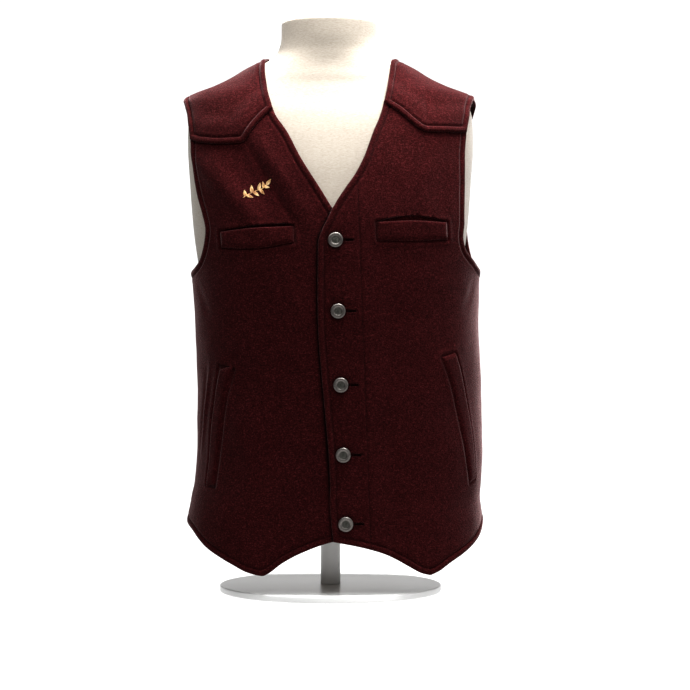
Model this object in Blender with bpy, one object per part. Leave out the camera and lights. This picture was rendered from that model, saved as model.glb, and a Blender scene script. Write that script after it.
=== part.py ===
"""Western vest on a limbless dress form.

Metres, +Z up. The front faces -Y and the wearer's left is at +X. The origin is the centre of the base's
underside. Sizes below are millimetres, and become metres where a mesh is made.

A point of cloth has two tape-measure coordinates: its tape, the distance round the body from the middle
of the front (on the back panel, of the back), and its height. The wearer's left has a positive tape. The
side seams and the shoulder seams lie where a quarter of the girth is used up.
"""
import math

import bmesh
import bpy
import numpy as np
from mathutils import Matrix, Vector

MM = 0.001
RIGHT, LEFT = -1, 1

# Cloth: a lined wool wall, and the clearance between pieces that meet or lie on each other
WALL = 2.5
SEAM_GAP = 0.3
LAY_GAP = 0.5
LAP_LIFT = WALL + LAY_GAP

# The body that the cloth lies on, measured to the cloth's outer face
SECTION_COLUMNS = ("height", "half_width", "front_depth", "back_depth", "centre_x", "centre_y", "squareness")
VEST_SECTIONS = [
    (20.0, 187.0, 125.0, 122.0, 6.0, 0.0, 2.40),
    (91.0, 186.5, 127.0, 119.0, 5.5, 0.0, 2.40),
    (118.0, 182.8, 128.0, 117.0, 6.5, 0.0, 2.40),
    (139.0, 181.0, 128.5, 116.0, 9.5, 0.0, 2.40),
    (190.0, 180.4, 130.0, 113.0, 12.0, 0.0, 2.40),
    (266.0, 179.6, 132.0, 111.0, 11.0, 0.0, 2.40),
    (330.0, 179.4, 134.0, 114.0, 8.5, 0.0, 2.40),
    (405.0, 182.2, 135.5, 122.0, 6.8, 0.0, 2.40),
    (455.0, 186.0, 134.5, 126.0, 5.0, 0.0, 2.40),
    (516.0, 191.0, 126.5, 126.0, 3.0, 2.0, 2.40),
    (568.0, 194.0, 112.0, 119.0, 1.0, 4.0, 2.35),
    (598.0, 194.0, 100.0, 110.0, 0.0, 6.0, 2.30),
    (616.0, 190.0, 91.0, 103.0, 0.0, 7.0, 2.30),
    (625.0, 181.6, 87.0, 99.0, 0.0, 8.0, 2.30),
    (638.5, 149.0, 80.0, 92.0, 0.0, 8.0, 2.30),
    (650.5, 123.5, 75.0, 85.0, 0.0, 7.0, 2.30),
    (660.0, 108.0, 71.0, 80.0, 0.0, 6.0, 2.30),
    (668.5, 91.5, 68.0, 75.0, 0.0, 5.0, 2.30),
    (674.0, 80.0, 66.0, 71.0, 0.0, 4.0, 2.30),
    (685.0, 69.0, 64.5, 67.0, 0.0, 3.0, 2.15),
    (712.0, 64.0, 63.0, 63.0, 0.0, 0.0, 2.05),
]

# The dress form, close under the cloth at the shoulders and slimmer below
FORM_SECTIONS = [
    (120.0, 158.0, 108.0, 101.0, 0.0, 0.0, 2.30),
    (190.0, 153.0, 109.0, 98.0, 0.0, 0.0, 2.30),
    (266.0, 150.0, 110.0, 96.0, 0.0, 0.0, 2.30),
    (330.0, 154.0, 116.0, 100.0, 0.0, 0.0, 2.30),
    (405.0, 166.0, 124.0, 110.0, 0.0, 0.0, 2.30),
    (455.0, 173.0, 125.5, 116.0, 0.0, 0.0, 2.30),
    (516.0, 178.0, 117.5, 117.0, 0.0, 2.0, 2.30),
    (568.0, 181.0, 104.5, 111.0, 0.0, 4.0, 2.30),
    (598.0, 180.0, 94.5, 103.5, 0.0, 6.0, 2.30),
    (612.0, 176.5, 88.0, 97.0, 0.0, 7.0, 2.24),
    (620.0, 170.0, 84.5, 93.5, 0.0, 8.0, 2.22),
    (628.0, 157.0, 80.5, 89.6, 0.0, 8.0, 2.22),
    (635.2, 146.5, 77.0, 86.6, 0.0, 8.0, 2.22),
    (647.2, 122.0, 72.0, 79.4, 0.0, 7.0, 2.20),
    (656.7, 106.8, 67.4, 73.4, 0.0, 6.0, 2.14),
    (665.2, 90.3, 64.4, 68.0, 0.0, 5.0, 2.10),
    (670.7, 78.8, 62.9, 64.5, 0.0, 4.0, 2.08),
    (683.0, 66.5, 61.2, 62.0, 0.0, 2.5, 2.04),
    (700.0, 62.2, 60.5, 60.5, 0.0, 0.5, 2.00),
    (721.0, 62.0, 60.0, 60.0, 0.0, 0.0, 2.00),
]

# The line of buttons leans a little: its sideways place at two heights
BUTTON_LINE = ((-1.8, 668.0), (21.6, 30.0))

# Outlines of the fronts. Tape here is from the button line, positive towards the piece's own side
NECK_POINT_HEIGHT = 675.0
UNDERARM_HEIGHT = 402.0
SIDE_HEM_HEIGHT = 91.0
UNDER_LAP = 18.0
NECK_COLUMNS = ("height", "right", "left")
NECK_EDGE = [
    (445.0, -18.0, -17.7),
    (460.0, -8.5, -10.0),
    (480.0, 4.0, 0.6),
    (500.0, 15.5, 14.2),
    (520.0, 27.5, 28.3),
    (540.0, 38.8, 38.9),
    (572.0, 54.2, 51.5),
    (595.0, 68.6, 61.6),
    (622.0, 76.5, 69.2),
    (645.0, 81.0, 75.0),
    (667.0, 88.0, 83.8),
]
# Columns: tape, height
LAP_EDGE = [(-15.3, 73.0), (-17.1, 144.0), (-20.7, 243.0), (-24.0, 304.0), (-24.3, 350.0), (-22.7, 395.0),
            (-20.8, 435.0)]
HEM = {
    RIGHT: [(-UNDER_LAP, 77.5), (14.9, 73.0), (54.1, 59.5), (79.0, 46.5), (97.5, 33.2), (103.3, 30.4),
            (108.5, 30.8), (123.8, 34.1), (145.2, 43.2), (183.5, 61.1), (219.6, 81.0)],
    LEFT: [(-15.3, 73.0), (20.7, 65.6), (45.2, 58.1), (59.7, 51.3), (77.7, 41.0), (93.4, 32.9), (104.0, 30.4),
           (115.2, 34.5), (134.0, 44.7), (159.3, 55.8), (188.2, 68.3), (218.0, 82.0)],
}

# Armholes, from the underarm up to the shoulder tip. Tape here is from the middle of the body
# Columns: tape, height
ARMHOLE = {
    RIGHT: [(234.5, 404.3), (208.0, 408.5), (192.2, 415.0), (176.2, 436.6), (172.2, 452.4), (176.2, 471.0),
            (184.5, 497.6), (188.0, 521.6), (187.7, 553.0), (189.7, 585.3), (201.0, 612.0)],
    LEFT: [(242.1, 405.6), (219.0, 409.0), (201.5, 415.3), (176.0, 431.6), (172.2, 444.0), (175.0, 461.0),
           (175.3, 502.0), (176.5, 545.9), (179.7, 575.4), (185.4, 601.9), (195.0, 618.0)],
}
ARMHOLE_BACK = [(236.0, 404.5), (218.0, 411.0), (202.0, 428.0), (193.0, 456.0), (189.0, 500.0),
                (190.0, 545.0), (196.0, 585.0), (208.0, 609.0)]
ARMHOLE_NARROWEST = 452.0
SHOULDER_TIP = {RIGHT: 624.5, LEFT: 626.0}

# The back's neck edge, from its middle towards either neck point, and its hem's drop below the side seams
# Columns: tape, height
NAPE_EDGE = [(0.0, 657.0), (50.0, 658.5), (84.0, 664.5)]
HEM_DROP = 6.0

# Yoke seams: from the neck edge down the slant to a corner, then level to the armhole
# Columns: tape, height
YOKE_SLANT = {
    RIGHT: [(70.2, 601.0), (81.8, 590.4), (100.4, 569.5), (107.0, 561.5), (112.5, 559.2)],
    LEFT: [(67.7, 608.5), (85.4, 595.8), (102.9, 580.6), (111.7, 574.4), (117.8, 572.0)],
}
YOKE_LEVEL = {
    RIGHT: [(112.5, 559.2), (144.2, 558.4), (171.9, 561.4), (187.9, 565.7)],
    LEFT: [(117.8, 572.0), (145.6, 572.6), (161.6, 573.0), (179.5, 574.4)],
}
YOKE_LAP = (6.0, 9.0)
YOKE_LIFT = LAP_LIFT + 0.3
YOKE_FLAT, YOKE_FADE = 18.0, 42.0

# Pocket welts: the middle of each strip, and its width there, measured up for a chest welt
# Columns: tape, height, width
CHEST_WELT = {
    RIGHT: [(145.9, 439.2, 19.4), (97.2, 440.5, 25.0), (49.4, 444.8, 19.8)],
    LEFT: [(51.8, 448.1, 22.0), (96.0, 449.3, 24.6), (144.2, 450.1, 20.8)],
}
SIDE_WELT = {
    RIGHT: [(142.7, 283.5, 19.0), (155.5, 243.0, 18.5), (164.5, 203.0, 18.0), (171.0, 138.0, 15.0)],
    LEFT: [(140.5, 298.5, 21.0), (155.0, 260.0, 19.5), (171.0, 203.0, 18.0), (186.5, 143.0, 15.0)],
}
WELT_WALL = 1.8
WELT_GAP = 0.7

# Largest folds: soft troughs and ridges that run from one place to another
# Columns: tape and height at one end, tape and height at the other, rise, half width
FRONT_FOLDS = [
    (-102.0, 558.0, -30.0, 428.0, -3.6, 20.0),
    (-186.0, 560.0, -46.0, 452.0, 2.6, 24.0),
    (-150.0, 505.0, -66.0, 398.0, -1.6, 22.0),
    (-176.0, 330.0, -96.0, 150.0, 1.8, 34.0),
    (70.0, 585.0, 44.0, 470.0, 1.6, 20.0),
    (166.0, 560.0, 118.0, 478.0, -1.5, 26.0),
    (176.0, 352.0, 98.0, 190.0, 1.6, 36.0),
]
BACK_FOLDS = [
    (-150.0, 600.0, -70.0, 430.0, -2.2, 26.0),
    (152.0, 590.0, 64.0, 452.0, -1.8, 24.0),
    (-190.0, 360.0, -60.0, 250.0, 2.0, 34.0),
    (196.0, 330.0, 74.0, 238.0, 1.8, 30.0),
    (-20.0, 300.0, 14.0, 130.0, -1.8, 38.0),
]

# The over front rises across the lap, and comes down again beyond the hidden edge
LAP_FLAT, LAP_FADE = 24.0, 62.0

# Buttons: turned heads on shanks that go through keyhole buttonholes
BUTTON_HEIGHTS = (437.4, 351.9, 262.8, 178.3, 94.8)
# The head's section from its underside to its middle, columns: radius, height
BUTTON_HEAD = [(7.6, 0.0), (9.0, 1.2), (9.0, 2.3), (7.9, 3.2), (6.5, 2.7), (5.0, 2.1), (3.4, 2.6), (0.0, 2.9)]
SHANK_RADIUS = 1.5
EYELET_RADIUS = 2.3
SLIT_LENGTH = 21.0
SLIT_WIDTH = 1.2
BUTTON_SIDES = 16

# The form's stand
BASE_RADIUS, BASE_THICK, BASE_EDGE = 140.0, 8.0, 1.5
POST_RADIUS = 12.5

# Mesh fineness, and the least space kept between an edge's table points and its ends
POINT_SPACE = 6.0
SIDE_ROWS = 14
SHOULDER_COLUMNS = 8
FRONT_COLUMNS = (8, 12)
FRONT_ROWS = 12
YOKE_COLUMNS = (6, 6)
YOKE_ROWS = 8
NAPE_COLUMNS = 14
BACK_ROWS = 15
BACK_GRADE = 1.35
TAPE_STEPS = 120
FORM_SIDES = 36
# Heights of the form's rings between its two rounded edges, closer together where the shoulders turn
FORM_LEVELS = [142.0, 170.0, 205.0, 245.0, 290.0, 335.0, 375.0, 410.0, 445.0, 480.0, 512.0, 542.0, 568.0,
               588.0, 602.0, 612.0, 621.0, 629.0, 637.0, 645.0, 652.5, 659.5, 665.5, 671.0, 677.0, 685.0,
               697.0]
# How the form's two edges are rounded, columns: distance from the edge, inset
FORM_ROUNDING = ((0.0, 5.0), (1.6, 1.6), (5.0, 0.0))


def monotone(at, xs, ys):
    """A smooth curve through a table's rows that never overshoots them."""
    gaps = np.diff(xs)
    slopes = np.diff(ys) / gaps
    tangents = np.zeros_like(ys)
    tangents[0], tangents[-1] = slopes[0], slopes[-1]
    for i in range(1, len(xs) - 1):
        if slopes[i - 1] * slopes[i] > 0:
            before, after = 2 * gaps[i] + gaps[i - 1], gaps[i] + 2 * gaps[i - 1]
            tangents[i] = (before + after) / (before / slopes[i - 1] + after / slopes[i])
    at = np.clip(at, xs[0], xs[-1])
    i = np.clip(np.searchsorted(xs, at) - 1, 0, len(xs) - 2)
    t = (at - xs[i]) / gaps[i]
    start = (1 + 2 * t) * (1 - t) ** 2 * ys[i] + t * (1 - t) ** 2 * gaps[i] * tangents[i]
    end = t * t * (3 - 2 * t) * ys[i + 1] + t * t * (t - 1) * gaps[i] * tangents[i + 1]
    return start + end


def smoothstep(value, low, high):
    t = np.clip((value - low) / (high - low), 0.0, 1.0)
    return t * t * (3 - 2 * t)


class Body:
    """A closed body whose level sections are rounded ovals."""

    def __init__(self, rows):
        self.columns = dict(zip(SECTION_COLUMNS, np.array(rows, dtype=float).T))

    def at(self, height):
        """The sizes of the sections at some heights."""
        heights = self.columns["height"]
        return {name: monotone(height, heights, values) for name, values in self.columns.items()}

    def oval(self, height, turn, back):
        """Section points. The turn is 0 at the middle and a quarter turn at the side."""
        size = self.at(height)
        power = 2.0 / size["squareness"]
        across = size["half_width"] * np.sign(turn) * np.abs(np.sin(turn)) ** power
        depth = size["back_depth"] if back else -size["front_depth"]
        return size["centre_x"] + across, size["centre_y"] + depth * np.abs(np.cos(turn)) ** power

    def lengths(self, height, back):
        """Tape used up at each turn step, one row for each height."""
        turns = np.linspace(0.0, math.pi / 2, TAPE_STEPS + 1)
        x, y = self.oval(np.atleast_1d(height)[:, None], turns[None, :], back)
        steps = np.hypot(np.diff(x), np.diff(y))
        return turns, np.pad(np.cumsum(steps, axis=1), ((0, 0), (1, 0)))

    def quarter(self, height, back=False):
        """Tape from the middle of the front or back to the side."""
        return float(self.lengths(height, back)[1][0, -1])

    def surface(self, tape, height, back=False):
        """Points of the body at tape-measure coordinates, in millimetres."""
        turns, lengths = self.lengths(height, back)
        turn = np.array([np.interp(abs(t), row, turns) for t, row in zip(tape, lengths)])
        x, y = self.oval(height, turn * np.sign(tape), back)
        return np.column_stack([x, y, height])

    def level(self, points):
        """1 on the body's surface, and less inside."""
        x, y, z = points.T
        size = self.at(z)
        depth = np.where(y < size["centre_y"], size["front_depth"], size["back_depth"])
        across = np.abs(x - size["centre_x"]) / size["half_width"]
        return across ** size["squareness"] + (np.abs(y - size["centre_y"]) / depth) ** size["squareness"]

    def normals(self, points):
        """Outward directions at points of the surface."""
        step = 0.05
        slopes = [self.level(points + step * axis) - self.level(points - step * axis) for axis in np.eye(3)]
        slopes = np.column_stack(slopes)
        return slopes / np.linalg.norm(slopes, axis=1)[:, None]


VEST = Body(VEST_SECTIONS)
FORM = Body(FORM_SECTIONS)


def button_line(height):
    """Tape of the button line from the middle of the body."""
    (top_x, top), (low_x, low) = BUTTON_LINE
    x = top_x + (low_x - top_x) * (top - height) / (top - low)
    return x - VEST.at(height)["centre_x"]


def from_line(side, rows):
    """Rows of (tape from the button line, height) as tape from the middle of the body."""
    return [(float(button_line(height)) + side * tape, height) for tape, height in rows]


def from_middle(side, rows):
    return [(side * tape, height) for tape, height in rows]


def run(points, cells, back=False, grade=1.0):
    """A smooth edge through a few points, cut into cells of even length, or shorter towards its end."""
    points = np.array(points, dtype=float)
    reach = np.concatenate([[0.0], np.cumsum(np.linalg.norm(np.diff(points, axis=0), axis=1))])
    fine = np.linspace(0.0, reach[-1], 40 * cells)
    curve = np.column_stack([monotone(fine, reach, points[:, 0]), monotone(fine, reach, points[:, 1])])
    places = VEST.surface(curve[:, 0], curve[:, 1], back)
    length = np.concatenate([[0.0], np.cumsum(np.linalg.norm(np.diff(places, axis=0), axis=1))])
    stops = length[-1] * (1 - np.linspace(1.0, 0.0, cells + 1) ** grade)
    return np.column_stack([np.interp(stops, length, curve[:, 0]), np.interp(stops, length, curve[:, 1])])


def edge(*runs):
    """Runs that meet at corners, as one edge."""
    return np.concatenate([runs[0]] + [following[1:] for following in runs[1:]])


def shares(points, back):
    """How much of a line's real length is used up at each of its points."""
    steps = np.linalg.norm(np.diff(VEST.surface(points[:, 0], points[:, 1], back), axis=0), axis=1)
    length = np.concatenate([[0.0], np.cumsum(steps)])
    return length / length[-1]


def respace(grid, back):
    """Slides the points along each column, so that real lengths follow those of the two end columns."""
    rows = np.arange(len(grid))
    fine = np.linspace(0, rows[-1], 10 * rows[-1] + 1)
    first, last = shares(grid[:, 0], back), shares(grid[:, -1], back)
    for column, u in enumerate(np.linspace(0.0, 1.0, grid.shape[1])):
        line = np.column_stack([np.interp(fine, rows, grid[:, column, axis]) for axis in (0, 1)])
        wanted = (1 - u) * first + u * last
        used = shares(line, back)
        grid[:, column] = np.column_stack([np.interp(wanted, used, line[:, axis]) for axis in (0, 1)])
    return grid


def patch(bottom, top, inner, outer, back=False):
    """Coons patch: a grid of tape and height that fills four edges."""
    u = np.linspace(0.0, 1.0, len(bottom))[None, :, None]
    v = np.linspace(0.0, 1.0, len(inner))[:, None, None]
    across = (1 - u) * inner[:, None, :] + u * outer[:, None, :]
    along = (1 - v) * bottom[None, :, :] + v * top[None, :, :]
    low = (1 - u) * bottom[0] + u * bottom[-1]
    high = (1 - u) * top[0] + u * top[-1]
    return respace(across + along - (1 - v) * low - v * high, back)


def relief(tape, height, folds):
    """How far the folds move the cloth out."""
    total = np.zeros_like(tape)
    for tape_1, height_1, tape_2, height_2, rise, half_width in folds:
        off_tape, off_height = tape - tape_1, height - height_1
        run_tape, run_height = tape_2 - tape_1, height_2 - height_1
        along = (off_tape * run_tape + off_height * run_height) / (run_tape ** 2 + run_height ** 2)
        along = np.clip(along, 0.0, 1.0)
        off = np.hypot(off_tape - along * run_tape, off_height - along * run_height)
        total += rise * 4 * along * (1 - along) * np.clip(1 - (off / half_width) ** 2, 0.0, None) ** 2
    return total


def raise_under(tape, height):
    """The right front, and the cloth beside it."""
    return relief(tape, height, FRONT_FOLDS)


def raise_over(tape, height):
    """The left front, which laps over the right one."""
    lift = LAP_LIFT * (1 - smoothstep(tape - button_line(height), LAP_FLAT, LAP_FADE))
    return relief(tape, height, FRONT_FOLDS) + lift


def raise_back(tape, height):
    return relief(tape, height, BACK_FOLDS)


RAISE = {RIGHT: raise_under, LEFT: raise_over}


def material(name, colour, roughness, metallic=0.0):
    made = bpy.data.materials.new(name)
    made.use_nodes = True
    shader = made.node_tree.nodes["Principled BSDF"]
    shader.inputs["Base Color"].default_value = (*colour, 1.0)
    shader.inputs["Roughness"].default_value = roughness
    shader.inputs["Metallic"].default_value = metallic
    made.diffuse_color = (*colour, 1.0)
    return made


def add_object(name, points, faces, finish):
    """An object from points in millimetres, with its faces turned out."""
    mesh = bpy.data.meshes.new(name)
    mesh.from_pydata([Vector(p) * MM for p in points], [], faces)
    shell = bmesh.new()
    shell.from_mesh(mesh)
    bmesh.ops.recalc_face_normals(shell, faces=shell.faces)
    shell.to_mesh(mesh)
    shell.free()
    mesh.shade_smooth()
    mesh.set_sharp_from_angle(angle=math.radians(40))
    mesh.materials.append(finish)
    made = bpy.data.objects.new(name, mesh)
    bpy.context.scene.collection.objects.link(made)
    return made


def wall_from_grid(name, outer, inner, finish):
    """A closed wall between two grids of points of the same shape."""
    rows, columns = outer.shape[:2]
    count = rows * columns

    def at(row, column, layer=0):
        return layer * count + row * columns + column

    faces = []
    for row in range(rows - 1):
        for column in range(columns - 1):
            quad = [at(row, column), at(row, column + 1), at(row + 1, column + 1), at(row + 1, column)]
            faces.append(quad)
            faces.append([corner + count for corner in reversed(quad)])
    rim = [(0, c) for c in range(columns)] + [(r, columns - 1) for r in range(1, rows)]
    rim += [(rows - 1, c) for c in range(columns - 2, -1, -1)] + [(r, 0) for r in range(rows - 2, 0, -1)]
    for first, second in zip(rim, rim[1:] + rim[:1]):
        faces.append([at(*second), at(*first), at(*first, 1), at(*second, 1)])
    points = np.concatenate([outer.reshape(-1, 3), inner.reshape(-1, 3)])
    return add_object(name, points, faces, finish)


def cloth(name, grid, raised, finish, thick=WALL, back=False):
    """A piece of cloth on the vest's body. Raised gives its outer face's height for tape, height, rise."""
    tape, height = grid[..., 0].ravel(), grid[..., 1].ravel()
    seat = VEST.surface(tape, height, back)
    normal = VEST.normals(seat)
    steps = np.linalg.norm(np.diff(seat.reshape(grid.shape[0], -1, 3), axis=0), axis=2)
    rise = np.pad(np.cumsum(steps, axis=0), ((1, 0), (0, 0))).ravel()
    outer = seat + normal * raised(tape, height, rise)[:, None]
    shape = grid.shape[:2] + (3,)
    return wall_from_grid(name, outer.reshape(shape), (outer - normal * thick).reshape(shape), finish)


def neck_point(side, height):
    """A point of the V edge."""
    column = NECK_COLUMNS.index("right" if side == RIGHT else "left")
    heights, tapes = (np.array([row[i] for row in NECK_EDGE]) for i in (0, column))
    return from_line(side, [(float(monotone(height, heights, tapes)), height)])[0]


def neck_edge(side, low, high):
    """Points of the V edge from one height up to another."""
    between = [row[0] for row in NECK_EDGE if low + POINT_SPACE < row[0] < high - POINT_SPACE]
    return [neck_point(side, height) for height in [low] + between + [high]]


def armhole_point(side, height):
    """A point of the armhole's upper part."""
    rows = [row for row in ARMHOLE[side] if row[1] >= ARMHOLE_NARROWEST]
    tapes, heights = (np.array(column) for column in zip(*rows))
    return side * float(monotone(height, heights, tapes)), height


def armhole_edge(side, low, high):
    """Table points of the armhole between two heights, clear of both."""
    return from_middle(side, [row for row in ARMHOLE[side] if low < row[1] < high - POINT_SPACE])


def side_line(side, low, high, back=False):
    """Points along the side or shoulder seam, half a seam gap short of it."""
    heights = np.linspace(low, high, 49)
    return [(side * (VEST.quarter(height, back) - SEAM_GAP / 2), height) for height in heights]


def front(side, name, finish):
    """A front, from its hem to just under its yoke."""
    side_seam = side_line(side, SIDE_HEM_HEIGHT, UNDERARM_HEIGHT)
    hem = from_line(side, HEM[side]) + [side_seam[0]]
    tip = min(range(len(hem)), key=lambda i: hem[i][1])
    corner = len(YOKE_SLANT[side]) - 1
    seam = YOKE_SLANT[side] + YOKE_LEVEL[side][1:]
    top = [(side * (tape + YOKE_LAP[0]), height + YOKE_LAP[1]) for tape, height in seam]
    top[0] = neck_point(side, top[0][1])
    top[-1] = armhole_point(side, top[-1][1])
    v_start = NECK_EDGE[0][0]
    if side == RIGHT:
        lap = from_line(side, [(-UNDER_LAP, height) for height in np.linspace(hem[0][1], v_start, 9)])
        neck = neck_edge(side, v_start, top[0][1])
    else:
        lap = from_line(side, LAP_EDGE)
        neck = [lap[-1]] + neck_edge(side, v_start, top[0][1])
    arm = [side_seam[-1]] + armhole_edge(side, UNDERARM_HEIGHT, top[-1][1]) + [top[-1]]
    first, second = FRONT_COLUMNS
    grid = patch(
        edge(run(hem[:tip + 1], first), run(hem[tip:], second)),
        edge(run(top[:corner + 1], first), run(top[corner:], second)),
        edge(run(lap, SIDE_ROWS), run(neck, FRONT_ROWS)),
        edge(run(side_seam, SIDE_ROWS), run(arm, FRONT_ROWS)),
    )
    raised = RAISE[side]
    return cloth(name, grid, lambda tape, height, rise: raised(tape, height), finish)


def yoke(side, name, finish):
    """A shoulder yoke, whose lower edge laps over the front."""
    shoulder = side_line(side, NECK_POINT_HEIGHT, SHOULDER_TIP[side])
    slant, level = from_middle(side, YOKE_SLANT[side]), from_middle(side, YOKE_LEVEL[side])
    neck = neck_edge(side, slant[0][1], NECK_EDGE[-1][0]) + [shoulder[0]]
    slant[0] = neck[0]
    level[-1] = armhole_point(side, level[-1][1])
    arm = [level[-1]] + armhole_edge(side, level[-1][1] + POINT_SPACE, SHOULDER_TIP[side]) + [shoulder[-1]]
    first, second = YOKE_COLUMNS
    grid = patch(edge(run(slant, first), run(level, second)), run(shoulder, first + second),
                 run(neck, YOKE_ROWS), run(arm, YOKE_ROWS))

    def raised(tape, height, rise):
        return relief(tape, height, FRONT_FOLDS) + YOKE_LIFT * (1 - smoothstep(rise, YOKE_FLAT, YOKE_FADE))

    return cloth(name, grid, raised, finish)


def back_panel(name, finish):
    """The plain back, from side seam to side seam."""
    seams, sides, shoulders = {}, {}, {}
    for side in (RIGHT, LEFT):
        seams[side] = side_line(side, SIDE_HEM_HEIGHT, UNDERARM_HEIGHT, True)
        shoulders[side] = side_line(side, SHOULDER_TIP[side], NECK_POINT_HEIGHT, True)
        arm = [seams[side][-1]] + from_middle(side, ARMHOLE_BACK) + [shoulders[side][0]]
        sides[side] = edge(run(seams[side], SIDE_ROWS, True), run(arm, BACK_ROWS, True, BACK_GRADE))
    hem = [seams[RIGHT][0], (0.0, SIDE_HEM_HEIGHT - HEM_DROP), seams[LEFT][0]]
    nape = from_middle(RIGHT, NAPE_EDGE[:0:-1]) + from_middle(LEFT, NAPE_EDGE)
    neck = [shoulders[RIGHT][-1]] + nape + [shoulders[LEFT][-1]]
    top = edge(run(shoulders[RIGHT], SHOULDER_COLUMNS, True), run(neck, NAPE_COLUMNS, True),
               run(shoulders[LEFT][::-1], SHOULDER_COLUMNS, True))
    grid = patch(run(hem, len(top) - 1, True), top, sides[RIGHT], sides[LEFT], True)
    return cloth(name, grid, lambda tape, height, rise: raise_back(tape, height), finish, back=True)


def welt(name, side, rows, cells, upright, finish):
    """A pocket welt: a strip of its own that lies on the front."""
    tapes, heights, widths = (np.array(column, dtype=float) for column in zip(*rows))
    places = np.linspace(0.0, 1.0, len(rows))
    even = np.linspace(0.0, 1.0, cells + 1)
    middle = np.column_stack([side * monotone(even, places, tapes), monotone(even, places, heights)])
    half = monotone(even, places, widths)[:, None] / 2
    across = np.array([1.0, 0.25] if upright else [0.0, 1.0])
    grid = np.stack([middle + place * half * across for place in np.linspace(-1.0, 1.0, 4)])
    raised = RAISE[side]
    return cloth(name, grid, lambda tape, height, rise: raised(tape, height) + WELT_GAP + WELT_WALL, finish,
                 thick=WELT_WALL)


def button_frame(height):
    """Where a button sits on the right front, and its axis."""
    tape = np.array([float(button_line(height))])
    seat = VEST.surface(tape, np.array([height]))
    normal = VEST.normals(seat)[0]
    place = seat[0] + normal * float(relief(tape, np.array([height]), FRONT_FOLDS)[0])
    across = Vector(np.cross((0.0, 0.0, 1.0), normal)).normalized()
    axis = Vector(normal)
    up = axis.cross(across)
    turn = Matrix((across, up, axis)).transposed().to_4x4()
    return Matrix.Translation(Vector(place)) @ turn


def turned(name, profile, sides, finish, frame=None):
    """A closed solid of revolution from a profile of (radius, height) that starts and ends on the axis."""
    frame = frame or Matrix.Identity(4)
    rings = profile[1:-1]
    points = [frame @ Vector((0.0, 0.0, profile[0][1])), frame @ Vector((0.0, 0.0, profile[-1][1]))]
    for radius, height in rings:
        for i in range(sides):
            angle = 2 * math.pi * i / sides
            points.append(frame @ Vector((radius * math.cos(angle), radius * math.sin(angle), height)))
    faces = []
    for i in range(sides):
        following = (i + 1) % sides
        faces.append((0, 2 + following, 2 + i))
        for ring in range(len(rings) - 1):
            low, high = 2 + ring * sides, 2 + (ring + 1) * sides
            faces.append((low + i, low + following, high + following, high + i))
        last = 2 + (len(rings) - 1) * sides
        faces.append((1, last + i, last + following))
    return add_object(name, points, faces, finish)


def button(name, height, finish):
    """A turned head with a rim, a groove and a boss, on a shank that stops at the right front."""
    under = LAP_LIFT + LAY_GAP
    shank = [(0.0, LAY_GAP), (SHANK_RADIUS, LAY_GAP), (SHANK_RADIUS, under)]
    head = [(radius, under + rise) for radius, rise in BUTTON_HEAD]
    return turned(name, shank + head, BUTTON_SIDES, finish, button_frame(height))


def buttonhole_cutter(finish):
    """Five keyholes in one mesh: an eyelet round each shank and a slit away from the lap's edge."""
    reach = 3 * WALL
    opening = math.asin(SLIT_WIDTH / 2 / EYELET_RADIUS)
    outline = [(EYELET_RADIUS * math.cos(a), EYELET_RADIUS * math.sin(a))
               for a in np.linspace(opening, 2 * math.pi - opening, 15)]
    outline += [(SLIT_LENGTH, -SLIT_WIDTH / 2), (SLIT_LENGTH, SLIT_WIDTH / 2)]
    points, faces = [], []
    for height in BUTTON_HEIGHTS:
        frame = button_frame(height)
        first = len(points)
        count = len(outline)
        for level in (-reach / 2, reach):
            points += [frame @ Vector((x, y, level)) for x, y in outline]
        faces.append([first + i for i in reversed(range(count))])
        faces.append([first + count + i for i in range(count)])
        for i in range(count):
            j = (i + 1) % count
            faces.append([first + i, first + j, first + count + j, first + count + i])
    cutter = add_object("buttonhole_cutter", points, faces, finish)
    cutter.hide_render = True
    cutter.display_type = "WIRE"
    return cutter


def cut_buttonholes(panel, finish):
    cut = panel.modifiers.new("buttonholes", "BOOLEAN")
    cut.operation = "DIFFERENCE"
    cut.solver = "EXACT"
    cut.object = buttonhole_cutter(finish)


def form_torso(name, finish):
    """The form's torso and neck, one closed skin with a rounded lower edge and neck rim."""
    bottom, top = FORM_SECTIONS[0][0], FORM_SECTIONS[-1][0]
    rings = [(bottom + rise, inset) for rise, inset in FORM_ROUNDING]
    rings += [(level, 0.0) for level in FORM_LEVELS]
    rings += [(top - rise, inset) for rise, inset in reversed(FORM_ROUNDING)]
    turns = np.linspace(-math.pi / 2, math.pi / 2, FORM_SIDES // 2 + 1)
    points = []
    for height, inset in rings:
        size = FORM.at(height)
        front_x, front_y = FORM.oval(height, turns, False)
        back_x, back_y = FORM.oval(height, turns[-2:0:-1], True)
        ring_x, ring_y = np.concatenate([front_x, back_x]), np.concatenate([front_y, back_y])
        shrink = 1 - inset / size["half_width"]
        ring_x = size["centre_x"] + (ring_x - size["centre_x"]) * shrink
        ring_y = size["centre_y"] + (ring_y - size["centre_y"]) * shrink
        points += [(x, y, height) for x, y in zip(ring_x, ring_y)]
    faces = [[i for i in reversed(range(FORM_SIDES))]]
    for ring in range(len(rings) - 1):
        for i in range(FORM_SIDES):
            j = (i + 1) % FORM_SIDES
            low, high = ring * FORM_SIDES, (ring + 1) * FORM_SIDES
            faces.append([low + i, low + j, high + j, high + i])
    faces.append([(len(rings) - 1) * FORM_SIDES + i for i in range(FORM_SIDES)])
    return add_object(name, points, faces, finish)


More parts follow.
